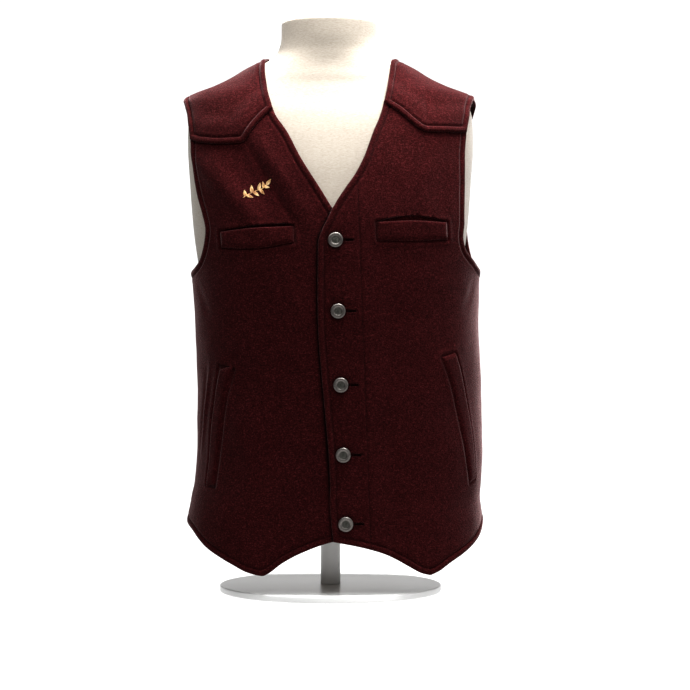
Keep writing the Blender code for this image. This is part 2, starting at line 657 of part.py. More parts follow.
def stand(finish):
    """The round base plate and the post up to the torso."""
    turned("form_base", [(0.0, 0.0), (BASE_RADIUS - BASE_EDGE, 0.0), (BASE_RADIUS, BASE_EDGE),
                         (BASE_RADIUS, BASE_THICK - BASE_EDGE), (BASE_RADIUS - BASE_EDGE, BASE_THICK),
                         (0.0, BASE_THICK)], 56, finish)
    low, high = BASE_THICK + SEAM_GAP, FORM_SECTIONS[0][0] - SEAM_GAP
    turned("form_post", [(0.0, low), (POST_RADIUS, low), (POST_RADIUS, high), (0.0, high)], 24, finish)


def build():
    for old in list(bpy.data.objects):
        bpy.data.objects.remove(old, do_unlink=True)
    wool = material("wool", (0.085, 0.024, 0.021), 0.95)
    pewter = material("pewter", (0.36, 0.34, 0.31), 0.42, 0.9)
    linen = material("linen", (0.80, 0.76, 0.68), 0.9)
    enamel = material("enamel", (0.86, 0.86, 0.85), 0.4)

    front(RIGHT, "front_right", wool)
    over = front(LEFT, "front_left", wool)
    cut_buttonholes(over, wool)
    back_panel("back", wool)
    for side, word in ((RIGHT, "right"), (LEFT, "left")):
        yoke(side, "yoke_" + word, wool)
        welt("chest_welt_" + word, side, CHEST_WELT[side], 10, False, wool)
        welt("side_welt_" + word, side, SIDE_WELT[side], 14, True, wool)
    for number, height in enumerate(BUTTON_HEIGHTS, 1):
        button("button_%d" % number, height, pewter)
    form_torso("form_torso", linen)
    stand(enamel)


build()
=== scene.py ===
"""The looks of a western vest on a limbless dress form.

The vest's solids are simple walls. Here each piece of cloth is made again in the same place with its folded
borders, seams, stitches, pockets and creases, and everything gets its finish.

Millimetres are used up to the point where a mesh is made. The front faces -Y and the wearer's left is at +X.
A point of cloth has two tape-measure coordinates: its tape, the distance round the body from the middle of
the front (on the back panel, of the back), and its height. The side and shoulder seams lie where a quarter
of the girth is used up.
"""
import math

import bmesh
import bpy
import numpy as np
from mathutils import Matrix, Vector, noise
from mathutils.kdtree import KDTree


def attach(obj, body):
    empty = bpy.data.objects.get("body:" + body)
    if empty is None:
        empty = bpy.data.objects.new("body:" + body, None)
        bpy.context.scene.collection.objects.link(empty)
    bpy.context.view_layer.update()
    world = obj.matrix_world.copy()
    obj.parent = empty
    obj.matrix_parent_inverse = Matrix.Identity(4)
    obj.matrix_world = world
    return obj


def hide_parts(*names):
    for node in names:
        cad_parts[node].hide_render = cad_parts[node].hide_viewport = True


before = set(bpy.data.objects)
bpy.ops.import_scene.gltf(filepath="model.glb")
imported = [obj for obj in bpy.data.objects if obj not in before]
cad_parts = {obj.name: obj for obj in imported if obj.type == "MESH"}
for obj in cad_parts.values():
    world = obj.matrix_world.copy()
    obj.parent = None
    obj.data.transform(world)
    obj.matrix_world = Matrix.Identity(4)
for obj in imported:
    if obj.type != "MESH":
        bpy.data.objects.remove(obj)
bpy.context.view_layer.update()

MM = 0.001
QUARTER_TURN = math.pi / 2
RIGHT, LEFT = -1, 1
WORD = {RIGHT: "right", LEFT: "left"}
BODY = "root"

# Cloth walls, and the clearances of the solids
WALL = 2.5
SEAM_GAP = 0.3
LAY_GAP = 0.5
LAP_LIFT = WALL + LAY_GAP

# The body under the cloth's outer face, and the dress form
SECTION_COLUMNS = ("height", "half_width", "front_depth", "back_depth", "centre_x", "centre_y", "squareness")
VEST_SECTIONS = [
    (20, 187, 125, 122, 6, 0, 2.4),
    (91, 186.5, 127, 119, 5.5, 0, 2.4),
    (118, 182.8, 128, 117, 6.5, 0, 2.4),
    (139, 181, 128.5, 116, 9.5, 0, 2.4),
    (190, 180.4, 130, 113, 12, 0, 2.4),
    (266, 179.6, 132, 111, 11, 0, 2.4),
    (330, 179.4, 134, 114, 8.5, 0, 2.4),
    (405, 182.2, 135.5, 122, 6.8, 0, 2.4),
    (455, 186, 134.5, 126, 5, 0, 2.4),
    (516, 191, 126.5, 126, 3, 2, 2.4),
    (568, 194, 112, 119, 1, 4, 2.35),
    (598, 194, 100, 110, 0, 6, 2.3),
    (616, 190, 91, 103, 0, 7, 2.3),
    (625, 181.6, 87, 99, 0, 8, 2.3),
    (638.5, 149, 80, 92, 0, 8, 2.3),
    (650.5, 123.5, 75, 85, 0, 7, 2.3),
    (660, 108, 71, 80, 0, 6, 2.3),
    (668.5, 91.5, 68, 75, 0, 5, 2.3),
    (674, 80, 66, 71, 0, 4, 2.3),
    (685, 69, 64.5, 67, 0, 3, 2.15),
    (712, 64, 63, 63, 0, 0, 2.05),
]
FORM_SECTIONS = [
    (120, 158, 108, 101, 0, 0, 2.3),
    (190, 153, 109, 98, 0, 0, 2.3),
    (266, 150, 110, 96, 0, 0, 2.3),
    (330, 154, 116, 100, 0, 0, 2.3),
    (405, 166, 124, 110, 0, 0, 2.3),
    (455, 173, 125.5, 116, 0, 0, 2.3),
    (516, 178, 117.5, 117, 0, 2, 2.3),
    (568, 181, 104.5, 111, 0, 4, 2.3),
    (598, 180, 94.5, 103.5, 0, 6, 2.3),
    (612, 176.5, 88, 97, 0, 7, 2.24),
    (620, 170, 84.5, 93.5, 0, 8, 2.22),
    (628, 157, 80.5, 89.6, 0, 8, 2.22),
    (635.2, 146.5, 77, 86.6, 0, 8, 2.22),
    (647.2, 122, 72, 79.4, 0, 7, 2.2),
    (656.7, 106.8, 67.4, 73.4, 0, 6, 2.14),
    (665.2, 90.3, 64.4, 68, 0, 5, 2.1),
    (670.7, 78.8, 62.9, 64.5, 0, 4, 2.08),
    (683, 66.5, 61.2, 62, 0, 2.5, 2.04),
    (700, 62.2, 60.5, 60.5, 0, 0.5, 2),
    (721, 62, 60, 60, 0, 0, 2),
]

# The vest's outlines. The button line is given by its sideways place at two heights
BUTTON_LINE = ((-1.8, 668), (21.6, 30))
NECK_POINT_HEIGHT = 675.0
UNDERARM_HEIGHT = 402.0
SIDE_HEM_HEIGHT = 91.0
UNDER_LAP = 18.0
# Columns: height, and tape from the button line on the right and on the left
NECK_EDGE = [
    (445, -18, -17.7),
    (460, -8.5, -10),
    (480, 4, 0.6),
    (500, 15.5, 14.2),
    (520, 27.5, 28.3),
    (540, 38.8, 38.9),
    (572, 54.2, 51.5),
    (595, 68.6, 61.6),
    (622, 76.5, 69.2),
    (645, 81, 75),
    (667, 88, 83.8),
]
# Columns: tape from the button line, height
LAP_EDGE = [(-15.3, 73), (-17.1, 144), (-20.7, 243), (-24, 304), (-24.3, 350), (-22.7, 395),
            (-20.8, 435)]
HEM = {
    RIGHT: [(-UNDER_LAP, 77.5), (14.9, 73), (54.1, 59.5), (79, 46.5), (97.5, 33.2), (103.3, 30.4),
            (108.5, 30.8), (123.8, 34.1), (145.2, 43.2), (183.5, 61.1), (219.6, 81)],
    LEFT: [(-15.3, 73), (20.7, 65.6), (45.2, 58.1), (59.7, 51.3), (77.7, 41), (93.4, 32.9), (104, 30.4),
           (115.2, 34.5), (134, 44.7), (159.3, 55.8), (188.2, 68.3), (218, 82)],
}
# Columns: tape from the middle of the body, height
ARMHOLE = {
    RIGHT: [(234.5, 404.3), (208, 408.5), (192.2, 415), (176.2, 436.6), (172.2, 452.4), (176.2, 471),
            (184.5, 497.6), (188, 521.6), (187.7, 553), (189.7, 585.3), (201, 612)],
    LEFT: [(242.1, 405.6), (219, 409), (201.5, 415.3), (176, 431.6), (172.2, 444), (175, 461),
           (175.3, 502), (176.5, 545.9), (179.7, 575.4), (185.4, 601.9), (195, 618)],
}
ARMHOLE_BACK = [(236, 404.5), (218, 411), (202, 428), (193, 456), (189, 500),
                (190, 545), (196, 585), (208, 609)]
ARMHOLE_NARROWEST = 452.0
SHOULDER_TIP = {RIGHT: 624.5, LEFT: 626.0}
NAPE_EDGE = [(0, 657), (50, 658.5), (84, 664.5)]
HEM_DROP = 6.0
YOKE_SLANT = {
    RIGHT: [(70.2, 601), (81.8, 590.4), (100.4, 569.5), (107, 561.5), (112.5, 559.2)],
    LEFT: [(67.7, 608.5), (85.4, 595.8), (102.9, 580.6), (111.7, 574.4), (117.8, 572)],
}
YOKE_LEVEL = {
    RIGHT: [(112.5, 559.2), (144.2, 558.4), (171.9, 561.4), (187.9, 565.7)],
    LEFT: [(117.8, 572), (145.6, 572.6), (161.6, 573), (179.5, 574.4)],
}
YOKE_LAP = (6, 9)
YOKE_LIFT = LAP_LIFT + 0.3
YOKE_FLAT, YOKE_FADE = 18, 42.0
# How far the yoke's edge at the armhole is drawn in at its lower corner, and up to what height over it
YOKE_TUCK, YOKE_TUCK_RISE = 2.8, 40.0

# Pocket welts: the middle of each strip, and its width. Columns: tape, height, width
CHEST_WELT = {
    RIGHT: [(145.9, 439.2, 19.4), (97.2, 440.5, 25), (49.4, 444.8, 19.8)],
    LEFT: [(51.8, 448.1, 22), (96, 449.3, 24.6), (144.2, 450.1, 20.8)],
}
SIDE_WELT = {
    RIGHT: [(142.7, 283.5, 19), (155.5, 243, 18.5), (164.5, 203, 18), (171, 138, 15)],
    LEFT: [(140.5, 298.5, 21), (155, 260, 19.5), (171, 203, 18), (186.5, 143, 15)],
}
WELT_WALL = 1.8
WELT_GAP = 0.7
# Where the welts' faces are cut: across as a share of the half width, and from the ends in millimetres
WELT_ACROSS = (-1.0, -0.97, -0.92, -0.84, -0.72, -0.55, -0.35, -0.12,
               0.12, 0.35, 0.55, 0.72, 0.84, 0.92, 0.97, 1.0)
WELT_ENDS = (0.0, 0.25, 0.6, 1.1, 1.8, 2.8)
WELT_CELLS = 54
# How far in the welts slope down at their sewn edges and how hollow that slope is, and the mouth edge's round
SEWN_REACH, SEWN_POWER, MOUTH_ROUND = 4.2, 2.2, 2.6
SIDE_WELT_FLAT = 0.72

# Folds. Columns: tape and height at one end, tape and height at the other, rise, half width
FRONT_FOLDS = [
    (-142, 586, -48, 434, -7, 38),
    (-206, 574, -84, 448, 3, 26),
    (-150, 505, -66, 398, -1.6, 22),
    (-176, 330, -96, 150, 1.8, 34),
    (70, 585, 44, 470, 1.6, 20),
    (166, 560, 118, 478, -1.5, 26),
    (176, 352, 98, 190, 1.6, 36),
]
BACK_FOLDS = [
    (-150, 600, -70, 430, -2.2, 26),
    (152, 590, 64, 452, -1.8, 24),
    (-190, 360, -60, 250, 2, 34),
    (196, 330, 74, 238, 1.8, 30),
    (-20, 300, 14, 130, -1.8, 38),
]

# Smaller creases, with the same columns
FRONT_CREASES = [
    (-100, 578, -20, 438, 1.4, 13),
    (-113, 570, -30, 426, -1.9, 7.5),
    (-196, 560, -112, 470, 1.2, 14),
    (-171, 296, -204, 172, 1.9, 6),
    (-180, 290, -212, 164, -1.3, 7),
    (-120, 300, -150, 287, -1, 5),
    (124, 305, 150, 312, -0.9, 5),
    (-112, 556, -104, 512, -0.7, 8),
    (118, 569, 110, 520, -0.5, 9),
    (-70, 420, -36, 330, 0.7, 12),
    (58, 412, 48, 300, 0.6, 11),
    (60, 232, 72, 96, -0.6, 14),
    (-70, 250, -84, 90, -0.7, 16),
    (-204, 392, -170, 344, -1, 11),
    (206, 396, 172, 350, -1.1, 12),
    (-120, 600, -116, 566, 0.5, 5),
    (121, 634, 119, 578, -0.7, 4.5),
]
BACK_CREASES = [
    (-206, 396, -150, 352, -1.1, 12),
    (204, 392, 158, 340, -1, 11),
    (-120, 170, -96, 96, 0.9, 16),
    (96, 190, 120, 92, -0.9, 15),
    (-60, 640, 58, 643, -0.8, 9),
    (30, 420, 14, 300, 0.7, 18),
]
# Uneven lie of the cloth. Columns: size of the waves, rise
WOBBLE = [(52.0, 0.9), (21.0, 0.35)]

# The lap lies flat for this far past the button line, and then comes down
LAP_FLAT, LAP_FADE = 24.0, 62.0

# Turned edges: a puffed border out to a row of stitches
EDGE_ROUND = 1.7
EDGE_DROP = WALL / 2 - 0.05
STITCH_INSET = 8.0
BORDER_PUFF = 1.0
PUFF_UP, PUFF_DOWN = (0.0, 2.2), (4.8, 7.6)
# Soft bumps and hollows beside stitched edges, pockets' outlines and the facing's stitches. Columns: height,
# distance, width
BORDER_RELIEF = [(-0.9, STITCH_INSET, 1.7), (0.3, STITCH_INSET + 3.2, 2.0)]
POCKET_RELIEF = [(0.9, 4.4, 2.4), (-1.3, 0.9, 1.5)]
FACING_RELIEF = [(0.35, -3.5, 2.2), (0.3, 3.2, 2.0), (-0.6, 0.0, 1.0)]
# Painted shade, with the same columns: in the stitch grooves, where the nap is also flattened, and beside the
# chest and side welts
STITCH_SHADE = [(0.25, STITCH_INSET, 1.0)]
CHEST_SHADE, SIDE_SHADE = [(0.22, 0.7, 1.4)], [(0.12, 0.7, 1.0)]
SEAM_DROP = 0.8
FACING_INSET = 29.5
FACING_TOP, FACING_LOW = 508.0, 76.0
FACING_STARTS, FACING_STOPS = (66.0, 74.0), (505.0, 512.0)

# Pocket mouths: how far each gapes above its welt, how deep it looks, and the width of its sloping lip
MOUTH_GAPE = {RIGHT: 4.2, LEFT: 6.4}
MOUTH_DEPTH = 4.6
MOUTH_LIP = 0.7
# Painted shade at the short ends of the side pockets, and the painted shadow that the left front's lap casts
# beside its edge
END_SHADE = {RIGHT: 0.6, LEFT: 0.25}
LAP_SHADE = 0.92

# Buttons and buttonholes
BUTTON_HEIGHTS = (437.4, 351.9, 262.8, 178.3, 94.8)
# The head's section from its underside to its middle, columns: radius, height
BUTTON_HEAD = [(0, 0), (7.4, 0), (8.4, 0.3), (9, 1.1), (9.1, 1.7), (8.9, 2.4), (8.3, 3), (7.4, 3.25),
               (6.5, 3.15), (5.6, 2.9), (5, 2.7), (4.75, 2.5), (4.6, 1.9), (4.2, 1.65), (3.6, 1.7),
               (2.8, 1.95), (1.8, 2.15), (0.9, 2.25), (0, 2.27)]
BUTTON_RAYS, RAY_DEPTH, RAY_REACH = 14, 0.16, 4.3
SUNK_RADIUS = 4.9
SHANK_RADIUS = 1.5
EYELET_RADIUS = 2.3
SLIT_LENGTH = 21.0
SLIT_WIDTH = 1.5

# The form: where its shoulders need finer rings, and its stand
SHOULDERS_START = 590.0
BASE_RADIUS, BASE_THICK = 140.0, 8.0
POST_RADIUS = 12.5
SHARP = math.radians(50)
TORSO_SIDES, BASE_SIDES, POST_SIDES, BUTTON_SIDES = 144, 160, 64, 84

# Thread. Stitch is how long a stitch shows, and pitch how far apart they start
THREAD_RADIUS = 0.26
STITCH, STITCH_PITCH = 2.9, 3.7
SPRIG_LIFT = 0.35

# Mesh fineness
POINT_SPACE = 6.0
SIDE_ROWS = 14
SHOULDER_COLUMNS = 8
FRONT_COLUMNS = (8, 12)
FRONT_ROWS = 12
YOKE_COLUMNS = (6, 6)
YOKE_ROWS = 8
NAPE_COLUMNS = 14
BACK_ROWS = 15
BACK_GRADE = 1.35
FINER = 5
TAPE_STEPS = 120
LEVEL_STEP, SHARE_STEPS = 1.0, 600
TURNED_STOPS = [0.0, 0.2, 0.5, 0.9, 1.4, 2.1, 3.1, 4.4, 5.6, 6.5, 7.1, 7.6, 8.0, 8.4, 8.9, 9.6, 10.8, 12.4]
PLAIN_STOPS = [0.0]
CELL, BACK_CELL = 2.6, 4.0
FINER_REACHES = (4.5, 2.2, 0.45)


def monotone(at, xs, ys):
    """A smooth curve through a table's rows that never overshoots them."""
    xs, ys = np.array(xs, dtype=float), np.array(ys, dtype=float)
    gaps = np.diff(xs)
    slopes = np.diff(ys) / gaps
    tangents = np.zeros_like(ys)
    tangents[0], tangents[-1] = slopes[0], slopes[-1]
    for i in range(1, len(xs) - 1):
        if slopes[i - 1] * slopes[i] > 0:
            before, after = 2 * gaps[i] + gaps[i - 1], gaps[i] + 2 * gaps[i - 1]
            tangents[i] = (before + after) / (before / slopes[i - 1] + after / slopes[i])
    at = np.clip(at, xs[0], xs[-1])
    i = np.clip(np.searchsorted(xs, at) - 1, 0, len(xs) - 2)
    t = (at - xs[i]) / gaps[i]
    start = (1 + 2 * t) * (1 - t) ** 2 * ys[i] + t * (1 - t) ** 2 * gaps[i] * tangents[i]
    end = t * t * (3 - 2 * t) * ys[i + 1] + t * t * (t - 1) * gaps[i] * tangents[i + 1]
    return start + end


def smoothstep(value, low, high):
    t = np.clip((value - low) / (high - low), 0.0, 1.0)
    return t * t * (3 - 2 * t)


def bell(value, middle, width):
    """A soft bump of height 1."""
    return np.exp(-((value - middle) / width) ** 2)


def bumps(value, rows):
    """Several soft bumps and hollows."""
    return sum(height * bell(value, middle, width) for height, middle, width in rows)


def rounding(distance, reach=EDGE_ROUND):
    """A quarter round: 1 at an edge, and 0 at its reach from it."""
    t = np.clip(1 - distance / reach, 0.0, 1.0)
    return 1 - np.sqrt(1 - t * t)


class Body:
    """A closed body whose level sections are rounded ovals."""

    def __init__(self, rows):
        self.columns = dict(zip(SECTION_COLUMNS, np.array(rows, dtype=float).T))
        heights = self.columns["height"]
        self.levels = np.arange(heights[0], heights[-1] + LEVEL_STEP, LEVEL_STEP)
        self.quarters, self.turns = {}, {}
        for back in (False, True):
            turns, lengths = self.lengths(self.levels, back)
            even = np.linspace(0.0, 1.0, SHARE_STEPS + 1)
            self.quarters[back] = lengths[:, -1]
            self.turns[back] = np.array([np.interp(even * row[-1], row, turns) for row in lengths])

    def at(self, height):
        """The sizes of the sections at some heights."""
        heights = self.columns["height"]
        return {name: monotone(height, heights, values) for name, values in self.columns.items()}

    def oval(self, height, turn, back):
        """Section points. The turn is 0 at the middle and a quarter turn at the side."""
        size = self.at(height)
        power = 2.0 / size["squareness"]
        across = size["half_width"] * np.sign(turn) * np.abs(np.sin(turn)) ** power
        depth = size["back_depth"] if back else -size["front_depth"]
        return size["centre_x"] + across, size["centre_y"] + depth * np.abs(np.cos(turn)) ** power

    def lengths(self, height, back):
        """Tape used up at each turn step, one row for each height."""
        turns = np.linspace(0.0, QUARTER_TURN, TAPE_STEPS + 1)
        x, y = self.oval(np.atleast_1d(height)[:, None], turns[None, :], back)
        steps = np.hypot(np.diff(x), np.diff(y))
        return turns, np.pad(np.cumsum(steps, axis=1), ((0, 0), (1, 0)))

    def quarter(self, height, back=False):
        """Tape from the middle of the front or back to the side."""
        return float(np.interp(height, self.levels, self.quarters[back]))

    def surface(self, flat, back=False):
        """Points of the body at rows of (tape, height), in millimetres."""
        tape, height = flat[:, 0], flat[:, 1]
        share = np.abs(tape) / np.interp(height, self.levels, self.quarters[back])
        column = np.clip(share, 0.0, 1.0) * SHARE_STEPS
        row = np.clip((height - self.levels[0]) / LEVEL_STEP, 0.0, len(self.levels) - 1.0)
        i = np.minimum(row.astype(int), len(self.levels) - 2)
        j = np.minimum(column.astype(int), SHARE_STEPS - 1)
        up, along = row - i, column - j
        table = self.turns[back]
        turn = ((1 - up) * ((1 - along) * table[i, j] + along * table[i, j + 1])
                + up * ((1 - along) * table[i + 1, j] + along * table[i + 1, j + 1]))
        x, y = self.oval(height, turn * np.sign(tape), back)
        return np.column_stack([x, y, height])

    def level(self, points):
        """1 on the body's surface, and less inside."""
        x, y, z = points.T
        size = self.at(z)
        depth = np.where(y < size["centre_y"], size["front_depth"], size["back_depth"])
        across = np.abs(x - size["centre_x"]) / size["half_width"]
        return across ** size["squareness"] + (np.abs(y - size["centre_y"]) / depth) ** size["squareness"]

    def normals(self, points):
        """Outward directions at points of the surface."""
        step = 0.05
        slopes = [self.level(points + step * axis) - self.level(points - step * axis) for axis in np.eye(3)]
        slopes = np.column_stack(slopes)
        return slopes / np.linalg.norm(slopes, axis=1)[:, None]


VEST = Body(VEST_SECTIONS)
FORM = Body(FORM_SECTIONS)


def button_line(height):
    """Tape of the button line from the middle of the body."""
    (top_x, top), (low_x, low) = BUTTON_LINE
    x = top_x + (low_x - top_x) * (top - height) / (top - low)
    return x - VEST.at(height)["centre_x"]


def from_buttons(flat):
    """Tape of points from the button line."""
    return flat[:, 0] - button_line(flat[:, 1])


def off_button(flat, height):
    """Tape and height of points from the middle of a button."""
    return flat[:, 0] - button_line(height), flat[:, 1] - height


def from_line(side, rows):
    """Rows of (tape from the button line, height) as tape from the middle of the body."""
    return [(float(button_line(height)) + side * tape, height) for tape, height in rows]


def from_middle(side, rows):
    return [(side * tape, height) for tape, height in rows]


def length_along(places):
    """Length used up at each point of a line in space."""
    return np.concatenate([[0.0], np.cumsum(np.linalg.norm(np.diff(places, axis=0), axis=1))])


def follow(at, reach, line):
    """Points of a line where so much of its reach is used up."""
    return np.column_stack([np.interp(at, reach, column) for column in line.T])


def smooth(at, reach, points):
    """The same on the smooth curve through a few points."""
    return np.stack([monotone(at, reach, column) for column in points.T], axis=-1)


def run(points, cells, back=False, grade=1.0):
    """A smooth edge through a few points, cut into cells of even length, or shorter towards its end."""
    points = np.array(points, dtype=float)
    reach = length_along(points)
    line = smooth(np.linspace(0.0, reach[-1], 8 * cells), reach, points)
    length = length_along(VEST.surface(line, back))
    return follow(length[-1] * (1 - np.linspace(1.0, 0.0, cells + 1) ** grade), length, line)


def edge(*runs):
    """Runs that meet at corners, as one edge."""
    return np.concatenate([runs[0]] + [following[1:] for following in runs[1:]])


def shares(line, back):
    """How much of a line's real length is used up at each of its points."""
    length = length_along(VEST.surface(line, back))
    return length / length[-1]


def respace(grid, back):
    """Slides the points along each column, so that real lengths follow those of the two end columns."""
    first, last = shares(grid[:, 0], back), shares(grid[:, -1], back)
    for column, u in enumerate(np.linspace(0.0, 1.0, grid.shape[1])):
        line = grid[:, column].copy()
        grid[:, column] = follow((1 - u) * first + u * last, shares(line, back), line)
    return grid


def patch(bottom, top, inner, outer, back=False):
    """Coons patch: a grid of tape and height that fills four edges."""
    u = np.linspace(0.0, 1.0, len(bottom))[None, :, None]
    v = np.linspace(0.0, 1.0, len(inner))[:, None, None]
    across = (1 - u) * inner[:, None, :] + u * outer[:, None, :]
    along = (1 - v) * bottom[None, :, :] + v * top[None, :, :]
    low = (1 - u) * bottom[0] + u * bottom[-1]
    high = (1 - u) * top[0] + u * top[-1]
    return respace(across + along - (1 - v) * low - v * high, back)


def recut(grid, last, back):
    """Cuts each row of a grid again, with fine cells at its two ends."""
    lengths = [length_along(VEST.surface(row, back)) for row in grid]
    usual = float(np.median([length[-1] for length in lengths]))
    cells = max(4, round((usual - TURNED_STOPS[-1] - last[-1]) / (BACK_CELL if back else CELL)))
    rows = []
    for row, length in zip(grid, lengths):
        middle = np.linspace(TURNED_STOPS[-1], length[-1] - last[-1], cells + 1)
        end = [length[-1] - stop for stop in last[-2::-1]]
        rows.append(follow(np.concatenate([TURNED_STOPS[:-1], middle, end]), length, row))
    return np.array(rows)


def recut_both(grid, last=TURNED_STOPS, back=False):
    """Cuts a grid again both ways, with fine cells along its borders."""
    return recut(recut(grid, TURNED_STOPS, back).transpose(1, 0, 2), last, back).transpose(1, 0, 2)


def grid_cells(rows, columns):
    """The four corners of each cell of a grid of points."""
    return [[first, first + 1, first + columns + 1, first + columns]
            for row in range(rows - 1) for first in range(row * columns, (row + 1) * columns - 1)]


def outline(grid):
    """The points round a grid, in order."""
    return np.concatenate([grid[0], grid[1:, -1], grid[-1, -2::-1], grid[-2:0:-1, 0]])


def neck_point(side, height):
    """A point of the V edge."""
    column = 1 if side == RIGHT else 2
    heights, tapes = (np.array([row[i] for row in NECK_EDGE]) for i in (0, column))
    return from_line(side, [(float(monotone(height, heights, tapes)), height)])[0]


def neck_edge(side, low, high):
    """Points of the V edge from one height up to another."""
    between = [row[0] for row in NECK_EDGE if low + POINT_SPACE < row[0] < high - POINT_SPACE]
    return [neck_point(side, height) for height in [low] + between + [high]]


def armhole_point(side, height):
    """A point of the armhole's upper part."""
    rows = [row for row in ARMHOLE[side] if row[1] >= ARMHOLE_NARROWEST]
    tapes, heights = (np.array(column) for column in zip(*rows))
    return side * float(monotone(height, heights, tapes)), height


def armhole_edge(side, low, high):
    """Table points of the armhole between two heights, clear of both."""
    return from_middle(side, [row for row in ARMHOLE[side] if low < row[1] < high - POINT_SPACE])


def side_line(side, low, high, back=False):
    """Points along the side or shoulder seam, where the front and the back meet."""
    return [(side * VEST.quarter(height, back), height) for height in np.linspace(low, high, 49)]


def relief(flat, folds):
    """How far folds move the cloth out."""
    tape, height = flat[:, 0], flat[:, 1]
    total = np.zeros(len(flat))
    for tape_1, height_1, tape_2, height_2, rise, half_width in folds:
        off_tape, off_height = tape - tape_1, height - height_1
        run_tape, run_height = tape_2 - tape_1, height_2 - height_1
        along = (off_tape * run_tape + off_height * run_height) / (run_tape ** 2 + run_height ** 2)
        along = np.clip(along, 0.0, 1.0)
        off = np.hypot(off_tape - along * run_tape, off_height - along * run_height)
        total += rise * 4 * along * (1 - along) * np.clip(1 - (off / half_width) ** 2, 0.0, None) ** 2
    return total


def wobble(seat):
    """The uneven lie of the cloth, the same for all that lies on each other."""
    return sum(rise * np.array([noise.noise(Vector(point) / size) for point in seat])
               for size, rise in WOBBLE)


class Lines:
    """Lines in space, for distances to the nearest."""

    def __init__(self, lines, spacing=0.3):
        points = []
        for line in lines:
            length = length_along(line)
            even = np.linspace(0.0, length[-1], max(2, math.ceil(length[-1] / spacing)))
            points += [*follow(even, length, line), *line]
        self.tree = KDTree(len(points))
        for i, point in enumerate(points):
            self.tree.insert(point, i)
        self.tree.balance()

    def distance(self, points):
        return np.array([self.tree.find(point)[2] for point in points])


